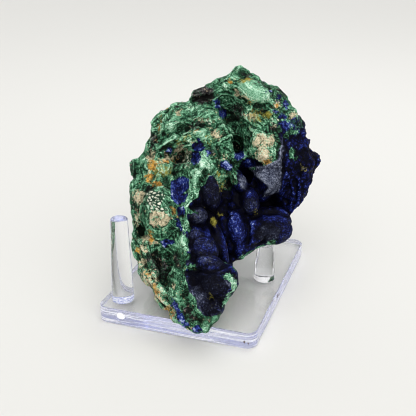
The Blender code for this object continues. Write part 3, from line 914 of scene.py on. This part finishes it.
def clearOfStand(points):
    # the stone's points, kept inside its packed box and off the stand
    low, high = (np.array(corner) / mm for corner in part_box("specimen"))
    points = np.clip(points, low, high)
    for name in ("tall_peg_front", "tall_peg_back", "short_peg"):
        low, high = (np.array(corner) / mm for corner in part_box(name))
        middle, foot = (low + high)[:2] / 2, (high - low)[0] / 2
        share = np.clip((points[:, 2] - low[2]) / (high - low)[2], 0, 1)
        radius = foot + (stand["pegTip"] - foot) * share + stone["pegRoom"]
        away = points[:, :2] - middle
        length = np.linalg.norm(away, axis=1)
        sunk = high[2] + stone["pegRoom"] - points[:, 2]
        near = (length < radius) & (sunk > 0)
        onTip = near & (sunk < stone["tipReach"])
        points[onTip, 2] += sunk[onTip]
        beside = near & ~onTip
        points[beside, :2] = middle + (away / length[:, None] * radius[:, None])[beside]
    return points


def growRelief(mesh, shares, vectors):
    rock = 1 - shares["azurite"]
    rough = 1 - relief["smoothing"] * shares["smooth"]
    base, swing, size = relief["worn"]
    patchy = base + swing * noiseOf(vectors, size, seeds["worn"])
    patchy = np.clip(patchy, *relief["wornLimits"])
    phase = (shares["band"] / relief["ledgeSpacing"]) % 1.0
    rise, fall = phase / relief["ledgeRise"], (1 - phase) * relief["ledgeFall"]
    ledge = np.where(phase < relief["ledgeRise"], rise, fall) - 0.5
    along = [vector / relief["strataLength"] for vector in vectors]
    across = shares["band"] / relief["strataSize"]
    strata = np.array([
        noise.noise(Vector((start, 0, 0)) + place) for start, place in zip(across, along)])
    crag = np.array([
        noise.fractal(vector / relief["cragSize"], *relief["cragFractal"]) for vector in vectors])
    block = chipsOf(vectors, relief["blockSize"], seeds["block"])
    chip = chipsOf(vectors, relief["chipSize"], seeds["chip"])
    pore = relief["poreReach"] - cellsOf(vectors, relief["poreSize"], seeds["pore"])
    pore = np.clip(pore, 0, None)
    grain = relief["ballMiddle"] - cellsOf(vectors, relief["grainSize"], seeds["grain"])
    drusy = relief["ballMiddle"] - cellsOf(vectors, relief["drusySize"], seeds["drusy"])
    crust = noiseOf(vectors, relief["crustSize"], seeds["crust"])
    height = rock * rough * (
        relief["cragHeight"] * crag
        + patchy * relief["ledgeHeight"] * ledge
        + relief["strataHeight"] * strata
        + relief["blockHeight"] * block
        + patchy * relief["chipHeight"] * chip
        - patchy * relief["poreDepth"] * pore
        + relief["grainHeight"] * grain * (1 + shares["tan"] + shares["crystal"])
    )
    height += shares["azurite"] * (
        relief["drusyHeight"] * drusy * shares["drusy"]
        + relief["crustHeight"] * crust
        + relief["azuriteGrain"] * grain
        + relief["azuriteStrata"] * relief["strataHeight"] * strata
    )
    points = placesOf(mesh) + normalsOf(mesh) * height[:, None]
    setPlaces(mesh, clearOfStand(points))


# Where the azurite is a crust of small balls, and where the malachite is smooth.
drusyPlaces = {
    "right wall": ((303, 165), (12.0, 24.0), -10),
    "under the small lump": ((229, 205), (4.0, 7.0), 0),
    "lower right of the foot": ((228, 292), (4.0, 8.0), 0),
    "clusters by the pit": ((197, 151), (4.0, 5.6), 0),
    "cluster by the pale dome": ((283, 116), (6.0, 6.4), -30),
    "spots on the left": ((167, 243), (4.6, 2.4), 0),
    "streak under the peak": ((220, 108), (2.2, 5.0), 10),
}
smoothPlaces = {
    "rim, top": ((205, 160), (3.4, 3.6), 30),
    "rim, beside the tall lump": ((196, 184), (2.0, 4.4), 5),
    "green dome": ((179, 243), (3.2, 3.8), 0),
    "lower rim": ((180, 275), (2.4, 12.0), 5),
    "small round knob": ((213, 152), (2.6, 3.0), 0),
    "pale dome": ((254, 90), (8.0, 5.2), -25),
    "leaf of the toe": ((206, 325), (2.4, 4.2), -8),
    "leaf beside it": ((213, 318), (2.2, 3.4), -38),
}


# What grows on the sides that the camera doesn't see: base, swing, size in mm and seed.
hiddenGrowth = {
    "tan": (0.3, 1.5, 10.0, 9),
    "rust": (0.1, 1.2, 7.0, 10),
    "royal": (0.3, 1.0, 9.0, 11),
    "pale": (0.4, 1.0, 8.0, 12),
}
overlaps = {
    "patchRoyal": 1.7,  # how bright the small azurite patches are
    "azuriteFull": 0.6,  # from this share on, azurite hides the earthy minerals
    "azuriteHides": 0.8,
}


def stoneShares(look, local, vectors):
    ragged = noiseOf(vectors, edges["raggedSize"], seeds["ragged"])
    ragged += edges["fineShare"] * noiseOf(vectors, edges["fineSize"], seeds["fineRagged"])
    shares = {name: patchShare(look, spots, ragged) for name, spots in patches.items()}
    for name, edge in outlines.items():
        mineral = "velvet" if name == "tongue" else "azurite"
        inside = insideEdge(look, edge) + edges["outlineRagged"] * ragged
        inside = softStep(inside, edges["outlineSharp"])
        shares[mineral] = np.maximum(shares[mineral], inside * look["seen"])
    azurite = azuriteShare(look, local, vectors)
    bright = shares["azurite"].copy()
    shares["azurite"] = np.maximum(azurite * (1 - shares.pop("malachite")), bright)
    shares["royal"] = np.maximum(shares["royal"], overlaps["patchRoyal"] * bright)
    unseen = 1 - look["seen"]
    for name, (base, swing, size, seed) in hiddenGrowth.items():
        grown = unseen * (base + swing * noiseOf(vectors, size, seed))
        shares[name] = np.maximum(shares[name], grown)
    covered = overlaps["azuriteHides"] * shares["azurite"] * (azurite > overlaps["azuriteFull"])
    for name in ("tan", "rust", "crystal"):
        shares[name] = np.clip(shares[name], 0, 1) * (1 - covered)
    shares["drusy"] = np.maximum(patchShare(look, drusyPlaces, ragged), unseen)
    shares["smooth"] = patchShare(look, smoothPlaces, ragged)
    shares["band"] = bandsOf(look, local, vectors)
    return shares


# The minerals in the order in which they grew. Each has its colours from the deepest hollow to
# the lightest tip, so that the hollow guide paints shade into the cracks and light onto the edges,
# how far each guide moves it along them, and its edge: the width, the raggedness and how fully it
# covers a patch.
minerals = {
    "malachite": {  # silky banded green, chalky where it is pale
        "tones": (
            (0.0, "#060d08"), (0.2, "#14291d"), (0.4, "#315e44"), (0.56, "#588d6c"),
            (0.72, "#86b898"), (0.88, "#b4d8be"), (1.0, "#dcebdc")),
        "start": -0.32,
        "guides": {
            "worn": 1.2, "mottle": 0.35, "streak": 0.3, "thread": 0.26, "facet": 0.14,
            "pore": -0.12, "pale": 0.18, "shade": -0.14, "hollow": -0.75},
    },
    "shade": {  # purplish black manganese film, worn through to the green, and painted shade in the cracks, pits and holes
        "tones": ((0.0, "#050505"), (0.35, "#1c1a1c"), (0.65, "#4a4648"), (1.0, "#8d8a86")),
        "start": -0.02,
        "guides": {"fine": 1.0, "streak": 0.2, "thread": 0.3, "hollow": -0.7},
        "edge": (0.2, 1.5, 0.55),
    },
    "tan": {  # crumbly cream and tan limonite
        "tones": (
            (0.0, "#1a1f16"), (0.25, "#565844"), (0.5, "#a0967a"), (0.75, "#ccbd9e"),
            (1.0, "#dcd6c0")),
        "start": -0.08,
        "guides": {
            "grain": 0.3, "fine": 1.1, "streak": 0.2, "facet": 0.25, "pore": -0.3,
            "hollow": -0.6},
        "edge": (0.2, 1.9, 0.68),
    },
    "rust": {  # rusty iron stain
        "tones": ((0.0, "#2e2410"), (0.3, "#7d5f2e"), (0.6, "#c8953f"), (1.0, "#f0d08c")),
        "start": -0.12,
        "guides": {"grain": 0.3, "fine": 1.1, "streak": 0.2, "hollow": -0.5},
        "edge": (0.22, 1.3, 0.74),
    },
    "crystal": {  # white crystals with green between them
        "tones": ((0.0, "#12281e"), (0.36, "#3f6450"), (0.5, "#a8aa96"), (1.0, "#f1ebe0")),
        "start": -0.42,
        "guides": {"grain": 0.3, "fine": 0.5, "piece": 0.75, "facet": 0.3, "hollow": -0.5},
        "edge": (0.16, 1.3, 0.8),
    },
    "azurite": {  # blue crystal crust, with painted shade that makes it nearly black in its hollows
        "tones": (
            (0.0, "#01010a"), (0.22, "#030416"), (0.4, "#090c30"), (0.56, "#141c57"),
            (0.72, "#27377f"), (0.86, "#5263a0"), (1.0, "#a0aecb")),
        "start": -0.195,
        "guides": {
            "grain": 0.15, "fine": 0.6, "streak": 0.4, "thread": 0.1, "royal": 0.27,
            "mottle": 0.15, "facet": 0.16, "sparkle": 0.26, "hollow": -0.9, "deep": -0.26},
        "edge": (0.08, 0.6, 1.0),
    },
    "velvet": {  # grey velvet of azurite hairs, and a painted sheen on the round lumps
        "tones": ((0.0, "#04040c"), (0.35, "#181b2a"), (0.65, "#434859"), (1.0, "#8a90a2")),
        "start": -0.45,
        "guides": {
            "grain": 0.2, "fine": 0.7, "streak": 0.5, "facet": 0.2, "sparkle": 0.22, "velvet": 0.55,
            "hollow": -0.8, "deep": -0.2},
        "edge": (0.25, 0.9, 0.95),
        "within": "azurite",  # it grows on nothing else
    },
    "yellow": {  # olive and yellow crystals
        "tones": ((0.0, "#1f210c"), (0.4, "#6d6a2a"), (0.7, "#a89f4a"), (1.0, "#d8d18c")),
        "start": 0.12,
        "guides": {"grain": 0.5, "fine": 0.6, "hollow": -0.4},
        "edge": (0.2, 1.2, 0.75),
    },
}
# The noises that guide the colours: size in mm, octaves and roughness. The finest is coarser
# than the real crystals, which are too small to show.
mineralNoises = {
    "grain": (1.3, 4.0, 0.7),
    "fine": (0.5, 2.0, 0.6),
    "mottle": (5.0, 3.0, 0.6),
    "wear": (7.0, 2.0, 0.5),
    "ragged": (0.9, 3.0, 0.65),
    "veins": (2.4, 3.0, 0.7),
}
pattern = {
    "wornFrom": (0.35, 0.65),  # of the wear's own noise
    "wornTo": (0.45, 1.5),  # how strong the fine noise is where it is worn, and where it is fresh
    "pieceSize": 2.1,  # mm, broken crystals with cracks between them
    "pieceEdge": 0.24,  # share of a piece that its worn edge takes
    "facetSize": 0.48,  # mm, crystal faces that catch the light or not, as painted glints in the colour, coarser than the real ones
    "sparkleFrom": 0.55,  # share of them that don't
    "poreSpacing": 2.4,  # mm; the colours darken in the pores as painted shade
    "poreWidth": 0.5,  # mm
    "streakSize": 0.5,  # mm across the silky fibres and bands, coarser than the real ones
    "streakLength": 6.0,  # mm
    "streakNoise": (3.0, 0.65),  # octaves and roughness
    "threadScale": 0.32,  # of the streaks' own
    "threadNoise": (2.0, 0.6),
    "threadFrom": (0.9, 1.9),  # the noise at which a thread starts and is full
}
crystalFinish = {
    "ior": 1.55,
    "specular": 0.05,  # nearly none: the fine crystals scatter the light
    "rough": 0.55,
    "azuriteRough": -0.12,  # glassier than the rock
    "fineRough": 0.25,
    "bumps": {
        "grain": 0.4, "fine": 0.5, "streak": 0.3, "thread": 0.4, "facet": 0.2, "pore": -0.3},
    "bumpStrength": 0.8,
    "bumpHeight": 0.4,  # mm
}


def weightedSum(tree, start, parts):
    # a start value and each part's socket times its weight
    total = None
    for socket, weight in parts:
        made = addNode(tree, "Math", {"operation": "MULTIPLY_ADD"}, {1: weight, 2: start}, {0: socket})
        if total:
            tree.links.new(total, made.inputs[2])
        total = made.outputs[0]
    return total


def mineralMaterial():
    # azurite grown on malachite: a fine velvety crust of blue crystals, with painted shade that
    #     # makes it nearly black in its hollows, on banded silky green with earthy tan and rusty
    #     pockets
    made, tree = newMaterial("azuriteOnMalachite")
    place = addNode(tree, "TexCoord").outputs["Object"]
    place = addNode(tree, "VectorMath", {"operation": "SCALE"}, {"Scale": 1 / mm}, {0: place})
    place = place.outputs[0]  # in mm
    guides = {}
    for name, (size, detail, rough) in mineralNoises.items():
        guides[name] = addNode(
            tree, "TexNoise", values={"Scale": 1 / size, "Detail": detail, "Roughness": rough},
            links={"Vector": place}).outputs["Fac"]
    for name in ("band", "hollow", "pale", "royal", "deep", *minerals):
        if name != "malachite":
            guides[name] = addNode(tree, "Attribute", {"attribute_name": name}).outputs["Fac"]

    # worn: the fine noise, strong in some places and nearly rubbed out in others
    (low, high), (worn, fresh) = pattern["wornFrom"], pattern["wornTo"]
    contrast = addNode(
        tree, "MapRange",
        values={"From Min": low, "From Max": high, "To Min": worn, "To Max": fresh},
        links={"Value": guides["wear"]})
    centred = addNode(tree, "Math", {"operation": "SUBTRACT"}, {1: 0.5}, {0: guides["fine"]})
    guides["worn"] = addNode(
        tree, "Math", {"operation": "MULTIPLY_ADD"}, {2: 0.5},
        {0: centred.outputs[0], 1: contrast.outputs[0]}).outputs[0]
    pieces = addNode(
        tree, "TexVoronoi", {"feature": "DISTANCE_TO_EDGE"}, {"Scale": 1 / pattern["pieceSize"]},
        {"Vector": place})
    guides["piece"] = addNode(
        tree, "MapRange", {"interpolation_type": "SMOOTHSTEP"},
        {"From Max": pattern["pieceEdge"]}, {"Value": pieces.outputs["Distance"]}).outputs[0]
    # facets: a random tone for each crystal face, painted glints; sparkle: the brightest of them
    facets = addNode(
        tree, "TexVoronoi", values={"Scale": 1 / pattern["facetSize"]}, links={"Vector": place})
    facets = addNode(tree, "SeparateColor", links={"Color": facets.outputs["Color"]})
    guides["facet"] = facets.outputs[0]
    guides["sparkle"] = addNode(
        tree, "MapRange", {"interpolation_type": "SMOOTHSTEP"},
        {"From Min": pattern["sparkleFrom"], "From Max": 1.0},
        {"Value": facets.outputs[1]}).outputs[0]
    # pores: darker in the colour as painted shade, and sunk by the bump
    pores = addNode(
        tree, "TexVoronoi", values={"Scale": 1 / pattern["poreSpacing"]}, links={"Vector": place})
    guides["pore"] = addNode(
        tree, "MapRange", {"interpolation_type": "SMOOTHSTEP"},
        {"From Min": pattern["poreWidth"] / pattern["poreSpacing"], "From Max": 0.0},
        {"Value": pores.outputs["Distance"]}).outputs[0]

    # streaks: noise drawn out along the bands in which the minerals grew
    across = addNode(tree, "CombineXYZ", links={"X": guides["band"]})
    across = addNode(
        tree, "VectorMath", {"operation": "SCALE"}, {"Scale": 1 / pattern["streakSize"]},
        {0: across.outputs[0]})
    along = addNode(
        tree, "VectorMath", {"operation": "SCALE"}, {"Scale": 1 / pattern["streakLength"]},
        {0: place})
    grown = addNode(
        tree, "VectorMath", {"operation": "ADD"}, links={0: across.outputs[0], 1: along.outputs[0]})
    detail, rough = pattern["streakNoise"]
    guides["streak"] = addNode(
        tree, "TexNoise", values={"Scale": 1.0, "Detail": detail, "Roughness": rough},
        links={"Vector": grown.outputs[0]}).outputs["Fac"]
    # threads: thin light fibres that branch over the rock
    detail, rough = pattern["threadNoise"]
    threads = addNode(
        tree, "TexNoise", {"noise_type": "RIDGED_MULTIFRACTAL"},
        {"Scale": pattern["threadScale"], "Detail": detail, "Roughness": rough, "Offset": 1.0,
         "Gain": 1.0},
        {"Vector": grown.outputs[0]}).outputs["Fac"]
    low, high = pattern["threadFrom"]
    guides["thread"] = addNode(
        tree, "MapRange", values={"From Min": low, "From Max": high},
        links={"Value": threads}).outputs[0]

    colour, masks = None, {}
    for name, mineral in minerals.items():
        parts = [(guides[guide], weight) for guide, weight in mineral["guides"].items()]
        level = weightedSum(tree, mineral["start"], parts)
        tone = addNode(tree, "ValToRGB", links={"Fac": level}, stops=mineral["tones"]).outputs[0]
        if colour is None:
            colour = tone
            continue
        width, wander, cover = mineral["edge"]
        edge = weightedSum(
            tree, -wander,
            ((guides["ragged"], wander), (guides["veins"], wander), (guides[name], cover)))
        mask = addNode(
            tree, "MapRange", {"interpolation_type": "SMOOTHSTEP"},
            {"From Min": 0.5 - width, "From Max": 0.5 + width}, {"Value": edge}).outputs[0]
        if "within" in mineral:
            mask = addNode(
                tree, "Math", {"operation": "MULTIPLY"},
                links={0: mask, 1: masks[mineral["within"]]}).outputs[0]
        masks[name] = mask
        colour = addNode(
            tree, "Mix", {"data_type": "RGBA"}, links={0: mask, 6: colour, 7: tone}).outputs[2]

    rough = weightedSum(tree, crystalFinish["rough"], (
        (masks["azurite"], crystalFinish["azuriteRough"]),
        (guides["fine"], crystalFinish["fineRough"])))
    height = weightedSum(
        tree, 0.0, [(guides[guide], weight) for guide, weight in crystalFinish["bumps"].items()])
    bump = addNode(
        tree, "Bump",
        values={
            "Strength": crystalFinish["bumpStrength"],
            "Distance": crystalFinish["bumpHeight"] * mm},
        links={"Height": height})
    shader = addNode(
        tree, "BsdfPrincipled",
        values={"IOR": crystalFinish["ior"], "Specular IOR Level": crystalFinish["specular"]},
        links={"Base Color": colour, "Roughness": rough, "Normal": bump.outputs[0]})
    addNode(tree, "OutputMaterial", links={"Surface": shader.outputs[0]})
    return made


def finishPiece(piece, material, node):
    piece.data.materials.clear()
    piece.data.materials.append(material)
    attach(piece, "root")
    if node:
        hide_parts(node)


def makeStone():
    piece = lumpyStone()
    mesh = piece.data
    print("stone fused:", len(mesh.polygons), "faces")
    look = lookAt(mesh, treeOf(mesh))
    local = inStone(look["points"])
    vectors = [Vector(point) for point in local]
    shares = stoneShares(look, local, vectors)
    growRelief(mesh, shares, vectors)
    # painted shade in the cracks and pits and painted light on the edges and knobs, for every mineral
    shares["hollow"] = hollowness(mesh)
    for name, values in shares.items():
        if name not in ("drusy", "smooth"):
            attribute = mesh.attributes.new(name, "FLOAT", "POINT")
            attribute.data.foreach_set("value", values.astype(np.float32))
    thin = piece.modifiers.new("thin", "DECIMATE")
    thin.ratio = stone["keptFaces"]
    piece = applied(piece)
    mesh = piece.data
    setPlaces(mesh, clearOfStand(placesOf(mesh)))
    print("stone grown, with", len(shares), "shares and", len(mesh.polygons), "faces")
    mesh.shade_smooth()
    finishPiece(piece, mineralMaterial(), "specimen")


stand = {
    "pegTip": 3.9,  # mm, radius of a peg's tip
    "sides": 72,
    "cornerRadius": 5.0,
    "cornerStep": 6,  # degrees
    "edgeRound": 0.6,
    "edgeCuts": 3,
    "plateAngle": 60,  # degrees: sharper edges than this are rounded
    "pegAngle": 50,
    # what is caught in the plate, and a painted glint in its front edge: places and half sizes in mm
    "paintedGlint": ((-25.9, -50.3, 4.8), (2.3, 1.1, 1.8)),
    "specks": (
        ((33.4, -50.8, 3.6), (0.4, 0.15, 0.7)), ((35.2, -50.8, 3.2), (0.3, 0.15, 0.5)),
        ((38.1, -9.0, 4.8), (0.15, 1.0, 0.8)), ((38.1, -6.2, 4.0), (0.15, 0.6, 0.6))),
    "blobCuts": 3,  # subdivisions of their spheres
    "paintedGlintLook": ("paintedGlintWhite", "#fbfbff", 0.5),  # a painted glint: a matte white blob in place of a lamp's reflection in the front edge
    "speckLook": ("dust", "#4a3a30", 0.8),  # dust in the edge, dull brown dots
    "blobGrain": (0.5, 0.1, 0.3),  # size and height in mm, and strength
}
acrylic = {
    "ior": 1.49,
    "smudgeSize": 25 / 3,  # mm
    "smudgeRough": 0.05,
    "sawnLength": 100 / 3,  # mm along an edge, and
    "sawnSize": 5 / 6,  # mm across the saw's lines, coarser than the real ones
    "sawnNoise": (3.0, 0.8),  # octaves and distortion
    "sawnDepth": 0.3,  # mm
    "sawnTones": ((0.36, "#c2c7ee"), (0.46, "#f4f5ff"), (0.54, "#ffffff")),
    "upright": 0.3,  # a face that looks up less than this is an edge
    "scratchFrom": (0.5, 0.62),  # the lines' noise at which they turn white
    "scratchWhite": 0.6,
    "tint": "#b6bfff",
    "tintDensity": 3.194,  # per metre
}


def acrylicMaterial():
    # cast acrylic with flame-polished edges: clear, with a lavender tint where one looks along it,
    # and fine saw lines left along the edges
    made, tree = newMaterial("castAcrylic")
    place = addNode(tree, "TexCoord").outputs["Object"]
    smudge = addNode(
        tree, "TexNoise", values={"Scale": 1 / (acrylic["smudgeSize"] * mm), "Detail": 2.0},
        links={"Vector": place})
    rough = addNode(
        tree, "MapRange", values={"To Min": 0.0, "To Max": acrylic["smudgeRough"]},
        links={"Value": smudge.outputs["Fac"]})
    length, size = acrylic["sawnLength"] * mm, acrylic["sawnSize"] * mm
    along = addNode(
        tree, "Mapping", values={"Scale": (1 / length, 1 / length, 1 / size)},
        links={"Vector": place})
    detail, distortion = acrylic["sawnNoise"]
    lines = addNode(
        tree, "TexNoise", values={"Scale": 1.0, "Detail": detail, "Distortion": distortion},
        links={"Vector": along.outputs[0]}).outputs["Fac"]
    streaks = addNode(tree, "ValToRGB", links={"Fac": lines}, stops=acrylic["sawnTones"])
    # only the sawn edges hold them: faces that stand upright
    normal = addNode(tree, "NewGeometry").outputs["Normal"]
    normal = addNode(tree, "SeparateXYZ", links={"Vector": normal})
    upward = addNode(tree, "Math", {"operation": "ABSOLUTE"}, links={0: normal.outputs["Z"]})
    edge = addNode(
        tree, "MapRange", values={"From Min": acrylic["upright"], "From Max": 0.0},
        links={"Value": upward.outputs[0]})
    sawn = addNode(tree, "Attribute", {"attribute_name": "sawn"}).outputs["Fac"]
    edge = addNode(
        tree, "Math", {"operation": "MULTIPLY"}, links={0: edge.outputs[0], 1: sawn}).outputs[0]
    clear = addNode(
        tree, "Mix", {"data_type": "RGBA"}, {6: linear("#ffffff")},
        {0: edge, 7: streaks.outputs[0]})
    grooves = addNode(
        tree, "Bump", values={"Distance": acrylic["sawnDepth"] * mm},
        links={"Strength": edge, "Height": lines})
    low, high = acrylic["scratchFrom"]
    scratch = addNode(
        tree, "MapRange", {"interpolation_type": "SMOOTHSTEP"},
        {"From Min": low, "From Max": high, "To Max": acrylic["scratchWhite"]}, {"Value": lines})
    scratch = addNode(
        tree, "Math", {"operation": "MULTIPLY"}, links={0: scratch.outputs[0], 1: edge})
    clearness = addNode(
        tree, "Math", {"operation": "SUBTRACT"}, {0: 1.0}, {1: scratch.outputs[0]})
    shader = addNode(
        tree, "BsdfPrincipled", values={"IOR": acrylic["ior"]},
        links={
            "Base Color": clear.outputs[2], "Roughness": rough.outputs[0],
            "Transmission Weight": clearness.outputs[0], "Normal": grooves.outputs[0]})
    tint = addNode(
        tree, "VolumeAbsorption",
        values={"Color": linear(acrylic["tint"]), "Density": acrylic["tintDensity"]})
    addNode(tree, "OutputMaterial", links={"Surface": shader.outputs[0], "Volume": tint.outputs[0]})
    return made


def finishEdges(piece, angle):
    bevel = piece.modifiers.new("polished edge", "BEVEL")
    bevel.width = stand["edgeRound"] * mm
    bevel.segments = stand["edgeCuts"]
    bevel.limit_method = "ANGLE"
    bevel.angle_limit = math.radians(angle)
    bevel.harden_normals = True
    piece.data.shade_smooth()
    return applied(piece)


def makePlate(material):
    low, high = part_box("base_plate")
    radius = stand["cornerRadius"] * mm
    form = bmesh.new()
    outline = []
    for sideX, sideY, first in ((1, 1, 0), (0, 1, 90), (0, 0, 180), (1, 0, 270)):
        middleX = high.x - radius if sideX else low.x + radius
        middleY = high.y - radius if sideY else low.y + radius
        for turned in range(0, 91, stand["cornerStep"]):
            angle = math.radians(first + turned)
            x, y = middleX + radius * math.cos(angle), middleY + radius * math.sin(angle)
            outline.append(form.verts.new((x, y, low.z)))
    bottom = form.faces.new(outline)
    raised = bmesh.ops.extrude_face_region(form, geom=[bottom])["geom"]
    top = [item for item in raised if isinstance(item, bmesh.types.BMVert)]
    bmesh.ops.translate(form, verts=top, vec=(0, 0, high.z - low.z))
    bmesh.ops.recalc_face_normals(form, faces=form.faces)
    plate = finishEdges(objectOf(form, "acrylicPlate"), stand["plateAngle"])
    sawn = plate.data.attributes.new("sawn", "FLOAT", "POINT")
    sawn.data.foreach_set("value", np.ones(len(plate.data.vertices), np.float32))
    finishPiece(plate, material, "base_plate")


def makePeg(name, node, material):
    low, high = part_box(node)
    form = bmesh.new()
    bmesh.ops.create_cone(
        form, cap_ends=True, segments=stand["sides"], radius1=(high.x - low.x) / 2,
        radius2=stand["pegTip"] * mm, depth=high.z - low.z,
        matrix=Matrix.Translation((low + high) / 2))
    finishPiece(finishEdges(objectOf(form, name), stand["pegAngle"]), material, node)


def makeBlobs(name, blobs, material):
    form = bmesh.new()
    for middle, half in blobs:
        matrix = Matrix.Translation(Vector(middle) * mm)
        matrix @= Matrix.Diagonal((*(Vector(half) * mm), 1))
        bmesh.ops.create_icosphere(
            form, subdivisions=stand["blobCuts"], radius=1.0, matrix=matrix)
    piece = objectOf(form, name)
    piece.data.shade_smooth()
    finishPiece(piece, material, None)


glue = {
    "thick": 0.16,  # mm
    "up": 0.2,  # mm from the peg's foot to its middle
    "short": 0.4,  # mm that it stops inside the peg's side
    "curlSize": 10 / 9,  # mm
    "curlNoise": (2.0, 1.0),  # octaves and distortion
    "tones": ((0.42, "#8d97cf"), (0.48, "#ffffff"), (0.54, "#ffffff"), (0.6, "#a4addd")),
    "rough": 0.4,
}


def makeGlue():
    # dried solvent glue, a frosted squiggle in the front peg's foot
    made, tree = newMaterial("driedGlue")
    place = addNode(tree, "TexCoord").outputs["Object"]
    detail, distortion = glue["curlNoise"]
    curls = addNode(
        tree, "TexNoise",
        values={"Scale": 1 / (glue["curlSize"] * mm), "Detail": detail, "Distortion": distortion},
        links={"Vector": place})
    tone = addNode(tree, "ValToRGB", links={"Fac": curls.outputs["Fac"]}, stops=glue["tones"])
    shader = addNode(
        tree, "BsdfPrincipled", values={"IOR": acrylic["ior"], "Roughness": glue["rough"]},
        links={"Base Color": tone.outputs[0]})
    addNode(tree, "OutputMaterial", links={"Surface": shader.outputs[0]})
    low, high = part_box("tall_peg_front")
    radius = (high.x - low.x) / 2 - glue["short"] * mm
    middle = Vector(((low.x + high.x) / 2, (low.y + high.y) / 2, low.z + glue["up"] * mm))
    form = bmesh.new()
    bmesh.ops.create_cone(
        form, cap_ends=True, segments=stand["sides"], radius1=radius, radius2=radius,
        depth=glue["thick"] * mm, matrix=Matrix.Translation(middle))
    finishPiece(objectOf(form, "pegGlue"), made, None)


def grainyMaterial(look, grain):
    # one colour, with a fine grain
    name, colour, rough = look
    size, height, strength = grain
    made, tree = newMaterial(name)
    place = addNode(tree, "TexCoord").outputs["Object"]
    grains = addNode(tree, "TexNoise", values={"Scale": 1 / (size * mm)}, links={"Vector": place})
    bump = addNode(
        tree, "Bump", values={"Strength": strength, "Distance": height * mm},
        links={"Height": grains.outputs["Fac"]})
    shader = addNode(
        tree, "BsdfPrincipled", values={"Base Color": linear(colour), "Roughness": rough},
        links={"Normal": bump.outputs[0]})
    addNode(tree, "OutputMaterial", links={"Surface": shader.outputs[0]})
    return made


def makeStand():
    material = acrylicMaterial()
    makePlate(material)
    makePeg("tallPegFront", "tall_peg_front", material)
    makePeg("tallPegBack", "tall_peg_back", material)
    makePeg("shortPeg", "short_peg", material)
    makeGlue()
    # the painted glint: a matte white blob for a lamp's reflection
    frosted = grainyMaterial(stand["paintedGlintLook"], stand["blobGrain"])
    makeBlobs("platePaintedGlint", [stand["paintedGlint"]], frosted)
    dust = grainyMaterial(stand["speckLook"], stand["blobGrain"])
    makeBlobs("plateSpecks", stand["specks"], dust)
    print("stand made")


studio = {
    "lightBounces": 32,  # light runs far inside the clear plate
    "sharpness": 1.0,  # px, width of a pixel's filter
    "airUnderPlate": 0.15,  # mm between the plate and the floor it rests on
    "floorReach": 3.0,  # metres
    "floorCells": 8,
    "floorLook": ("matteCard", "#dad9d5", 0.8),  # even, with no gloss
    "floorGrain": (10 / 9, 0.1, 0.05),  # coarser than the card's fibres, in the same form
    "tentLight": 0.3,  # light from all sides of the white tent
    # its brighter panels: direction, how narrow and how bright. The plate's top mirrors the wall.
    "tentPanels": {
        "front": ((0.33, -0.66, 0.67), 3.0, 2.6),
        "wall behind": ((-0.3, 0.9, 0.3), 3.0, 0.55),
    },
    "softboxSize": 0.4,  # metres
    "softboxPower": 1.75,  # watts
    "softboxPlace": (0.08, 0.3, 0.8),  # metres
    "softboxAim": (0.0, 0.0, 0.05),
}


def makeFloor():
    form = bmesh.new()
    cells = studio["floorCells"]
    bmesh.ops.create_grid(form, x_segments=cells, y_segments=cells, size=studio["floorReach"])
    floor = objectOf(form, "floor")
    floor.location.z = -studio["airUnderPlate"] * mm
    floor.data.materials.append(grainyMaterial(studio["floorLook"], studio["floorGrain"]))


def makeStudio():
    # a white light tent, brightest in front, and one softbox over it
    makeFloor()
    world = bpy.data.worlds.new("studio")
    world.use_nodes = True
    tree = world.node_tree
    direction = addNode(tree, "TexCoord").outputs["Generated"]
    strength = addNode(tree, "Value")
    strength.outputs[0].default_value = studio["tentLight"]
    for side, narrow, power in studio["tentPanels"].values():
        facing = addNode(
            tree, "VectorMath", {"operation": "DOT_PRODUCT"}, {1: side}, {0: direction})
        facing = addNode(tree, "Math", {"operation": "MAXIMUM"}, {1: 0.0}, {0: facing.outputs["Value"]})
        facing = addNode(
            tree, "Math", {"operation": "POWER"}, {1: narrow}, {0: facing.outputs[0]})
        strength = addNode(
            tree, "Math", {"operation": "MULTIPLY_ADD"}, {1: power},
            {0: facing.outputs[0], 2: strength.outputs[0]})
    background = tree.nodes["Background"]
    background.inputs["Color"].default_value = linear("#ffffff")
    tree.links.new(strength.outputs[0], background.inputs["Strength"])
    scene = bpy.context.scene
    scene.world = world

    light = bpy.data.lights.new("softbox", "AREA")
    light.size = studio["softboxSize"]
    light.energy = studio["softboxPower"]
    lamp = bpy.data.objects.new("softbox", light)
    lamp.location = studio["softboxPlace"]
    aim = Vector(studio["softboxAim"]) - lamp.location
    lamp.rotation_euler = aim.to_track_quat("-Z", "Y").to_euler()
    scene.collection.objects.link(lamp)
    scene.view_settings.view_transform = "Standard"
    scene.cycles.filter_width = studio["sharpness"]
    scene.cycles.blur_glossy = 0.0  # the floor is lit through the clear plate
    scene.cycles.max_bounces = studio["lightBounces"]
    scene.cycles.glossy_bounces = studio["lightBounces"]
    scene.cycles.transmission_bounces = studio["lightBounces"]
    print("studio made")


addCamera()
makeStone()
makeStand()
makeStudio()
